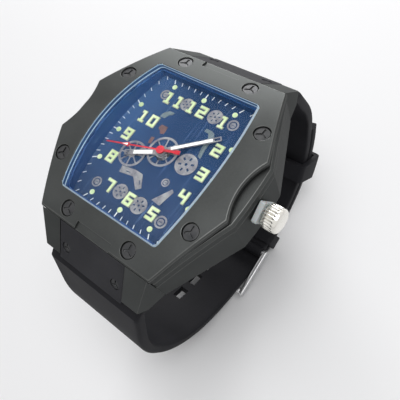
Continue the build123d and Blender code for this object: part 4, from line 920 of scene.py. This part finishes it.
def strap_half(name, long, thick, slots):
    """A strap half, still flat, with its slots, its thickness and its rounded edges."""
    def in_slot(at, spare=0.0):
        in_reach = any(near(at.y, middle, SLOT_LONG / 2 + spare) for middle in slots)
        return abs(at.x) < SLOT_HALF + spare and in_reach

    def cut_away(at, _):
        return (at.y < -0.001 * MM and abs(at.x) > TONGUE_HALF) or in_slot(at)

    def long_edge(height):
        return lambda at, _: near(abs(at.x), TOP_HALF) and near(at.z, height)

    def slot_edge(at, _):
        return near(at.z, 0) and in_slot(at, 0.001 * MM)

    def tip_edge(at, _):
        return near(at.y, long) and (near(at.z, 0) or near(at.z, -thick))

    strap = flat_sheet(name, long, slots)
    pick(strap, cut_away)
    bpy.ops.mesh.delete(type="FACE")
    everything()
    extruded(z=-thick)
    turned_outwards()
    for test, width, segments in ((long_edge(0.0), OUTER_ROUND, 4), (long_edge(-thick), INNER_ROUND, 3),
                                  (slot_edge, SLOT_ROUND, 2), (tip_edge, TIP_ROUND, 3)):
        pick(strap, test, "EDGE")
        bpy.ops.mesh.bevel(offset=width, segments=segments, affect="EDGES")
    clear()
    return strap


# %% Finishing a half
def finished_half(strap, tail, node):
    """Wrap a strap half round the loop, then smooth and dress it."""
    wrapped(strap, tail)
    smoothed(strap, 35)
    dressed(strap, rubber_black, "case", "strap_rubber", node)
    print(strap.name, len(strap.data.polygons), "faces")


# %% [markdown]
# The half at 12 o'clock has no slots. The tail has eight: seven under the wrist, given by their
# directions from straight down in degrees towards 12 o'clock, and one on the far side.

# %% Both halves
SLOT_ANGLES = (28.5, 19.6, 10.7, 1.8, -7.1, -16.1, -25.0)
SIDE_SLOT_TURN = radians(60 - 48.6)     # past the start of the far side's arc


def distance_at(angle):
    """Distance along the strap to a direction from straight down."""
    return BASE_START + BASE_RADIUS * (SIDE_END - radians(angle - 90))


upper_half = strap_half("strap_upper_half", BUCKLE_HALF_LONG, STRAP_THICK, [])
finished_half(upper_half, False, "strap_buckle_half")
side_slot = OTHER_SIDE_START + (SIDE_RADIUS + TAIL_RISE) * SIDE_SLOT_TURN
tail_slots = [distance_at(angle) for angle in SLOT_ANGLES] + [side_slot]
lower_half = strap_half("strap_lower_half", TAIL_HALF_LONG, TAIL_THICK, tail_slots)
finished_half(lower_half, True, "strap_tail_half")

# %% [markdown]
# The end of the upper half is folded round the spring bar, with a gap for the buckle's tongue. The
# fold could be part of the strap, but little of it shows, so two rounded cylinders are enough.

# %% Strap loop round the spring bar
BAR_REACH = 39.2 * MM         # from the centre of the arc under the wrist
BAR_AT = BASE_CENTRE + outward(BAR_TURN) * BAR_REACH
TUBE_RADIUS = 1.6 * MM
TUBE_LONG = 9.3 * MM
TUBE_MIDDLE = 6.2 * MM        # from the strap's middle line
TUBE_ROUND = 0.35 * MM
ALONG_X = (0, pi / 2, 0)      # turns a cylinder onto the X direction
tubes = []
for side in (1, -1):
    clear()
    bpy.ops.mesh.primitive_cylinder_add(vertices=32, radius=TUBE_RADIUS, depth=TUBE_LONG, rotation=ALONG_X,
                                        location=(side * TUBE_MIDDLE, BAR_AT.y, BAR_AT.z))
    tube = bpy.context.object
    settled(tube)
    bevelled(tube, TUBE_ROUND, segments=3)
    tubes.append(tube)
bar_loop = joined(tubes, "strap_bar_loop")
smoothed(bar_loop, 35)
dressed(bar_loop, rubber_black, "case", "strap_rubber")
print("spring bar at, in mm", [round(value / MM, 2) for value in BAR_AT])

# %% [markdown]
# ## Keepers
#
# A keeper is a flat rubber ring round both layers. One is fixed beside the buckle, and the other is
# free to travel. A hole cut through a block would have sharp corners, so the ring is a box without
# two of its sides, with round corners and a solidified wall. It is cut into slices along the strap,
# and its points are then bent to the arc that it sits on.

# %% A keeper's sleeve
KEEPER_INSIDE = 11.15 * MM    # half width of the opening
KEEPER_CORNER = 1.2 * MM


def keeper_sleeve(name, opening, around, wide):
    """A straight sleeve, one metre long, with round corners and a wall."""
    low, high = opening
    clear()
    bpy.ops.mesh.primitive_cube_add(size=2)
    ring = bpy.context.object
    ring.name = name
    ring.scale = (wide, 0.5, (high - low) / 2 + around)
    ring.location = (0, 0.5, (high + low) / 2)
    settled(ring)
    edit(ring)
    pick(ring, lambda _, normal: abs(normal.y) > 0.9)
    bpy.ops.mesh.delete(type="FACE")
    pick(ring, lambda at, _: near(at.y, 0.5, 0.01), "EDGE")      # its four long edges
    bpy.ops.mesh.bevel(offset=KEEPER_CORNER, segments=5, affect="EDGES")
    turned_outwards()
    only(ring)
    wall = ring.modifiers.new("wall", "SOLIDIFY")
    wall.thickness = wide - KEEPER_INSIDE
    wall.offset = -1
    bpy.ops.object.modifier_apply(modifier=wall.name)
    return ring


# %% Bending the sleeve
KEEPER_SLICES = 10
KEEPER_ROUND = 0.28 * MM


def keeper(name, centre, opening, turns, around, wide):
    """A ring between two angles round a centre.

    The opening is given by two radii, its outside lies beyond them by around, and wide is half its width.
    """
    ring = keeper_sleeve(name, opening, around, wide)
    start, end = turns
    edit(ring)
    for index in range(1, KEEPER_SLICES):
        everything()
        bpy.ops.mesh.bisect(plane_co=(0, index / KEEPER_SLICES, 0), plane_no=(0, 1, 0))
    clear()
    for point in ring.data.vertices:
        angle = start + (end - start) * point.co.y
        point.co = centre + outward(angle) * point.co.z + Vector((point.co.x, 0, 0))
    bevelled(ring, KEEPER_ROUND, segments=3, angle=50)
    smoothed(ring, 40)
    return ring


# %% Both keepers
fixed = keeper("fixed_keeper_ring", BASE_CENTRE, opening=(38.37 * MM, 43.25 * MM),
               turns=(radians(-80.5), radians(-75.5)), around=0.9 * MM, wide=11.95 * MM)
dressed(fixed, rubber_black, "case", "strap_rubber", "fixed_keeper")
free = keeper("free_keeper_ring", SIDE_CENTRE, opening=(23.52 * MM, 28.48 * MM),
              turns=(radians(-44.5), radians(-31.5)), around=2.0 * MM, wide=12.4 * MM)
dressed(free, rubber_black, "keeper", "strap_rubber", "free_keeper")
print("keeper faces", len(fixed.data.polygons), len(free.data.polygons))

# %% [markdown]
# ## Buckle frame
#
# The buckle is a steel frame of two flat arms and a crossbar. Bent wire would be quicker to model,
# but it is round, and an arm is a flat strip with round ends. So a filled circle is cut across, its
# upper half is pushed away to the other pivot, and the gap is bridged. Then the face is extruded to
# the arm's thickness, and the long edges get a generous rounding. The crossbar is a plain rod.

# %% Buckle arms
ARM_HALF = 1.1 * MM
ARM_INSIDE = 11.3 * MM        # distances of the arm's two faces from the strap's middle line
ARM_OUTSIDE = 12.5 * MM
ARM_ROUND = 0.35 * MM
CROSSBAR_TURN = radians(-11.5 - 90)
CROSSBAR_REACH = 42.0 * MM
CROSSBAR_AT = BASE_CENTRE + outward(CROSSBAR_TURN) * CROSSBAR_REACH
arm_run = CROSSBAR_AT - BAR_AT


def buckle_arm(side):
    """The arm on one side, from the spring bar to the crossbar."""
    clear()
    bpy.ops.mesh.primitive_circle_add(vertices=40, radius=ARM_HALF, fill_type="NGON")
    arm = bpy.context.object
    edit(arm)
    everything()
    bpy.ops.mesh.bisect(plane_co=(0, 0, 0), plane_no=(0, 1, 0))
    pick(arm, lambda at, _: at.y > 0)
    bpy.ops.mesh.split()
    bpy.ops.transform.translate(value=(0, arm_run.length, 0))
    pick(arm, lambda at, _: near(at.y, 0) or near(at.y, arm_run.length), "EDGE")
    bpy.ops.mesh.bridge_edge_loops()
    everything()
    bpy.ops.mesh.dissolve_limited(angle_limit=radians(1))
    everything()
    extruded(z=ARM_OUTSIDE - ARM_INSIDE)
    turned_outwards()
    clear()
    bevelled(arm, ARM_ROUND, segments=3, angle=50)
    along = arm_run.normalized()
    sideways = Vector((side, 0, 0))
    turn = Matrix((along.cross(sideways), along, sideways)).transposed().to_4x4()
    arm.matrix_world = Matrix.Translation(BAR_AT + sideways * ARM_INSIDE) @ turn
    settled(arm)
    return arm


# %% Buckle frame
CROSSBAR_RADIUS = 0.9 * MM
CROSSBAR_LONG = 2 * ARM_INSIDE + 0.4 * MM      # its ends reach a little way into both arms
CROSSBAR_ROUND = 0.1 * MM
arms = [buckle_arm(side) for side in (1, -1)]
clear()
bpy.ops.mesh.primitive_cylinder_add(vertices=40, radius=CROSSBAR_RADIUS, depth=CROSSBAR_LONG,
                                    location=CROSSBAR_AT, rotation=ALONG_X)
crossbar = bpy.context.object
settled(crossbar)
bevelled(crossbar, CROSSBAR_ROUND)
buckle = joined(arms + [crossbar], "buckle_frame_bent")
smoothed(buckle, 35)
dressed(buckle, buckle_steel, "buckle", "buckle_steel", "buckle_frame")
print("buckle arm in mm", round(arm_run.length / MM, 2))

# %% [markdown]
# ## Crown
#
# The crown is turned from one piece, and coarse flutes run along it and fade out before the polished
# cap. A spin gives a round profile but no flutes, so the crown begins as a circle with eight points
# for each flute. It is extruded one unit for each step of its profile, and every point then moves to
# its place by its step and its share of a flute.

# %% Crown profile
CROWN_START = 23.9 * MM
CROWN_RADIUS = 2.45 * MM
STEM_HEIGHT = 6.0 * MM
FLUTES = 24
POINTS_PER_FLUTE = 8
CROWN_POINTS = FLUTES * POINTS_PER_FLUTE
FLUTE_DEPTH = 0.26 * MM
FLUTE_POWER = 1.6             # above 1 makes the grooves narrower than the ridges
crown_steps = [      # distance from the inner face, share of the radius, share of the flute's depth
    (0.0, 0.90, 0.6), (0.16, 0.99, 1.0), (1.0, 1.0, 1.0), (1.95, 1.0, 1.0), (2.10, 1.0, 0.55),
    (2.18, 0.985, 0.0), (2.50, 0.985, 0.0), (2.78, 0.965, 0.0), (3.00, 0.90, 0.0), (3.10, 0.82, 0.0),
    (3.14, 0.72, 0.0), (3.15, 0.35, 0.0), (3.15, 0.12, 0.0),
]

# %% Crown
clear()
bpy.ops.mesh.primitive_circle_add(vertices=CROWN_POINTS, radius=1)
crown = bpy.context.object
crown.name = "crown_turned"
edit(crown)
everything()
for _ in crown_steps[1:]:
    extruded(z=1)
bpy.ops.mesh.edge_face_add()
clear()
for point in crown.data.vertices:
    away, share, depth = crown_steps[round(point.co.z)]
    spin = Vector(point.co.xy).normalized()
    turned = spin.angle_signed(Vector((1, 0))) / (2 * pi)
    phase = 2 * pi * round(turned * CROWN_POINTS) / POINTS_PER_FLUTE
    groove = FLUTE_DEPTH * depth * (0.5 - 0.5 * cos(phase)) ** FLUTE_POWER
    radius = CROWN_RADIUS * share - groove
    point.co = (CROWN_START + away * MM, spin.x * radius, STEM_HEIGHT + spin.y * radius)
edit(crown)
turned_outwards()

# %% [markdown]
# The inner face is still open. Its rim is extruded inwards and then into the crown, where the round
# hole for the stem's tube is closed.

# %% Crown's inner face
HOLE_SHARE = 0.66
HOLE_DEPTH = 1.2 * MM
pick(crown, lambda at, _: near(at.x, CROWN_START), "EDGE")
extruded()
bpy.ops.transform.resize(value=(1, HOLE_SHARE, HOLE_SHARE), center_override=(CROWN_START, 0, STEM_HEIGHT))
extruded(x=HOLE_DEPTH)
bpy.ops.mesh.edge_face_add()
turned_outwards()
clear()
smoothed(crown, 50)
dressed(crown, crown_silver, "winding_stem", "crown_chrome", "crown")
print("crown faces", len(crown.data.polygons))

# %% [markdown]
# ## Dial parts
#
# The CAD model's numerals and hands have the right outlines, so drawing them again would gain nothing.
# Each gets a fine rounding so that its edges shine. The numerals, their fill and the white bars have
# their triangles merged first. The hands' frames, the red hand and the wheels keep theirs, because
# the rounding would fold their large faces over, and the thin wheels are not rounded at all.

# %% Numerals, openwork and hands
dial_parts = {       # rounding in mm, finish, export slot, body
    "dial_numerals": (0.04, numeral_rim, "numeral_grey", "case"),
    "dial_lume": (0.03, lume_green, "lume_green", "case"),
    "dial_wheels": (0.0, openwork_grey, "openwork_grey", "case"),
    "hour_hand": (0.04, hand_frame, "hand_dark", "hours"),
    "minute_hand": (0.04, hand_frame, "hand_dark", "minutes"),
    "hour_hand_lume": (0.04, lume_white, "lume_white", "hours"),
    "minute_hand_lume": (0.04, lume_white, "lume_white", "minutes"),
    "seconds_hand": (0.05, seconds_red, "seconds_red", "seconds"),
    "seconds_hand_lume": (0.02, lume_white, "lume_white", "seconds"),
}
merged_parts = ("dial_numerals", "dial_lume", "hour_hand_lume", "minute_hand_lume")
for node, (width, material, slot, body) in dial_parts.items():
    piece = refined(node, width * MM, merge=node in merged_parts)
    dressed(piece, material, body, slot, node)
    print(node, len(piece.data.polygons), "faces")

# %% [markdown]
# Two hooked bridges and two copper blocks fill the dial between the wheels, as thin flat plates. A
# painted dial would look flat through the crystal, so each plate is a piece: a filled circle gets one
# point for each corner, the points go to the corners, and the face is extruded upwards. A narrow
# bevel gives the plate the bright edge of stamped metal.

# %% Outlines of the bridges and blocks
DIAL_TOP = 8.0          # in mm above the case back, as are the corners below
PLATE_THICK = 0.08
PLATE_ROUND = 0.02
hooks_dim = finish("dim_openwork", (0.10, 0.14, 0.16), (0.17, 0.22, 0.23), (0.35, 0.5), 0.3,
                   scale=2500, cloud=500, Metallic=0.2)
copper_dim = finish("copper_openwork", (0.11, 0.065, 0.065), (0.24, 0.12, 0.11), (0.35, 0.5), 0.3,
                    scale=2500, cloud=700, Metallic=0.2)
plates = {
    "hooked_bridge_left": (hooks_dim, "openwork_grey", [
        (-6.2, 6.65), (-6.1, 7.4), (-5.6, 8.1), (-4.8, 8.6), (-3.7, 8.6), (-3.9, 8.0), (-4.5, 7.7),
        (-4.8, 7.1), (-4.9, 6.65)]),
    "hooked_bridge_right": (hooks_dim, "openwork_grey", [
        (4.5, 7.9), (4.6, 8.6), (5.9, 8.6), (6.7, 8.3), (7.1, 7.6), (7.2, 4.6), (7.5, 2.5), (6.7, 2.8),
        (6.3, 4.4), (6.1, 7.0), (5.6, 7.8)]),
    "copper_block_upper": (copper_dim, "coil_copper", [
        (-4.5, 5.2), (-2.9, 5.3), (-2.7, 3.6), (-3.5, 3.3), (-3.9, 3.9), (-4.7, 4.2)]),
    "copper_block_lower": (copper_dim, "coil_copper", [(-4.7, 2.0), (-3.9, 2.1), (-3.8, 0.6), (-4.5, 0.5)]),
}

# %% Hooked bridges and copper blocks
for name, (material, slot, corners) in plates.items():
    clear()
    bpy.ops.mesh.primitive_circle_add(vertices=len(corners), fill_type="NGON")
    plate = bpy.context.object
    plate.name = name
    for point, (x, y) in zip(plate.data.vertices, corners):
        point.co = Vector((x, y, DIAL_TOP)) * MM
    edit(plate)
    everything()
    extruded(z=PLATE_THICK * MM)
    turned_outwards()
    clear()
    bevelled(plate, PLATE_ROUND * MM)
    smoothed(plate)
    dressed(plate, material, "case", slot)
print("extra openwork plates", len(plates))

# %% [markdown]
# ## Finishes for the parts that keep their CAD shape
#
# Flat and hidden parts look right as they are, so they only get a finish.

# %% Carried-over nodes
kept = {
    print_white: ["dial_track"],
    dial_blue: ["dial"],
    seal_blue: ["crystal_gasket"],
    seal_black: ["case_back_gasket", "crown_gasket"],
    screw_black: ["case_back_screws"],
    board_green: ["circuit_board"],
    coil_copper: ["coil_winding"],
    holder_plastic: ["fifth_wheel", "movement_holder"],
    train_brass: ["setting_wheel", "minute_wheel", "centre_wheel", "third_wheel", "fourth_wheel",
                  "main_plate", "train_bridge"],
    train_steel: ["crown_tube", "stem", "setting_lever", "yoke", "sliding_pinion", "cannon_pinion",
                  "rotor", "stator", "coil_core", "battery", "battery_clamp", "movement_screws",
                  "spring_bar", "hour_wheel"],
}
for material, nodes in kept.items():
    for node in nodes:
        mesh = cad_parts[node].data
        mesh.materials.clear()
        mesh.materials.append(material)
print("nodes that keep their shape", sum(len(nodes) for nodes in kept.values()))

# %% [markdown]
# ## Floor and light
#
# A pale floor under the strap, a large soft lamp overhead and a low one behind 12 o'clock stand in for
# a light tent. They are kept at a level at which colours come out about as written.

# %% Floor
floor_material, _, floor_shader = new_material("pale_floor")
set_inputs(floor_shader, {"Base Color": (0.86, 0.86, 0.87, 1), "Roughness": 0.75})
clear()
bpy.ops.mesh.primitive_plane_add(size=4.0, location=(0, 0, cad_box[0][2]))
floor = bpy.context.object
floor.name = "floor"
floor.data.materials.append(floor_material)
print("floor at, in mm", round(cad_box[0][2] / MM, 1))


# %% Lamps
def lamp(name, place, size, power):
    """A rectangular soft lamp that faces the middle of the case back."""
    data = bpy.data.lights.new(name, "AREA")
    data.shape = "RECTANGLE"
    data.size, data.size_y = size
    data.energy = power
    light = bpy.data.objects.new(name, data)
    bpy.context.scene.collection.objects.link(light)
    light.location = place
    light.rotation_mode = "QUATERNION"
    light.rotation_quaternion = Vector(place).to_track_quat("Z", "Y")


lamp("tent_top", (0.12, 0.02, 0.60), size=(0.5, 0.5), power=3.0)
lamp("tent_back", (-0.33, 0.50, 0.17), size=(0.44, 0.18), power=2.7)
print("lamps", [light.name for light in bpy.data.lights])

# %% [markdown]
# The world is white. Seen directly, in a mirror or through glass it is bright, and as a light on the
# object it is dim, so that metal and crystal show a pale room without washing out the black case.

# %% World
WORLD_LIGHT = 0.24
WORLD_SEEN = 0.85
world = bpy.data.worlds.new("studio")
bpy.context.scene.world = world
world.use_nodes = True
sky = world.node_tree.nodes["Background"]
sky.inputs["Color"].default_value = (1, 1, 1, 1)
ray = added(world.node_tree, "LightPath")
seen = added(world.node_tree, "Math", "MAXIMUM")
seen_through = added(world.node_tree, "Math", "MAXIMUM")
level = added(world.node_tree, "MapRange", To_Min=WORLD_LIGHT, To_Max=WORLD_SEEN)
link = world.node_tree.links.new
link(ray.outputs["Is Camera Ray"], seen.inputs[0])
link(ray.outputs["Is Glossy Ray"], seen.inputs[1])
link(seen.outputs[0], seen_through.inputs[0])
link(ray.outputs["Is Transmission Ray"], seen_through.inputs[1])
link(seen_through.outputs[0], level.inputs["Value"])
link(level.outputs[0], sky.inputs["Strength"])
bpy.context.scene.view_settings.view_transform = "Standard"

# %% The last line
bpy.context.view_layer.update()
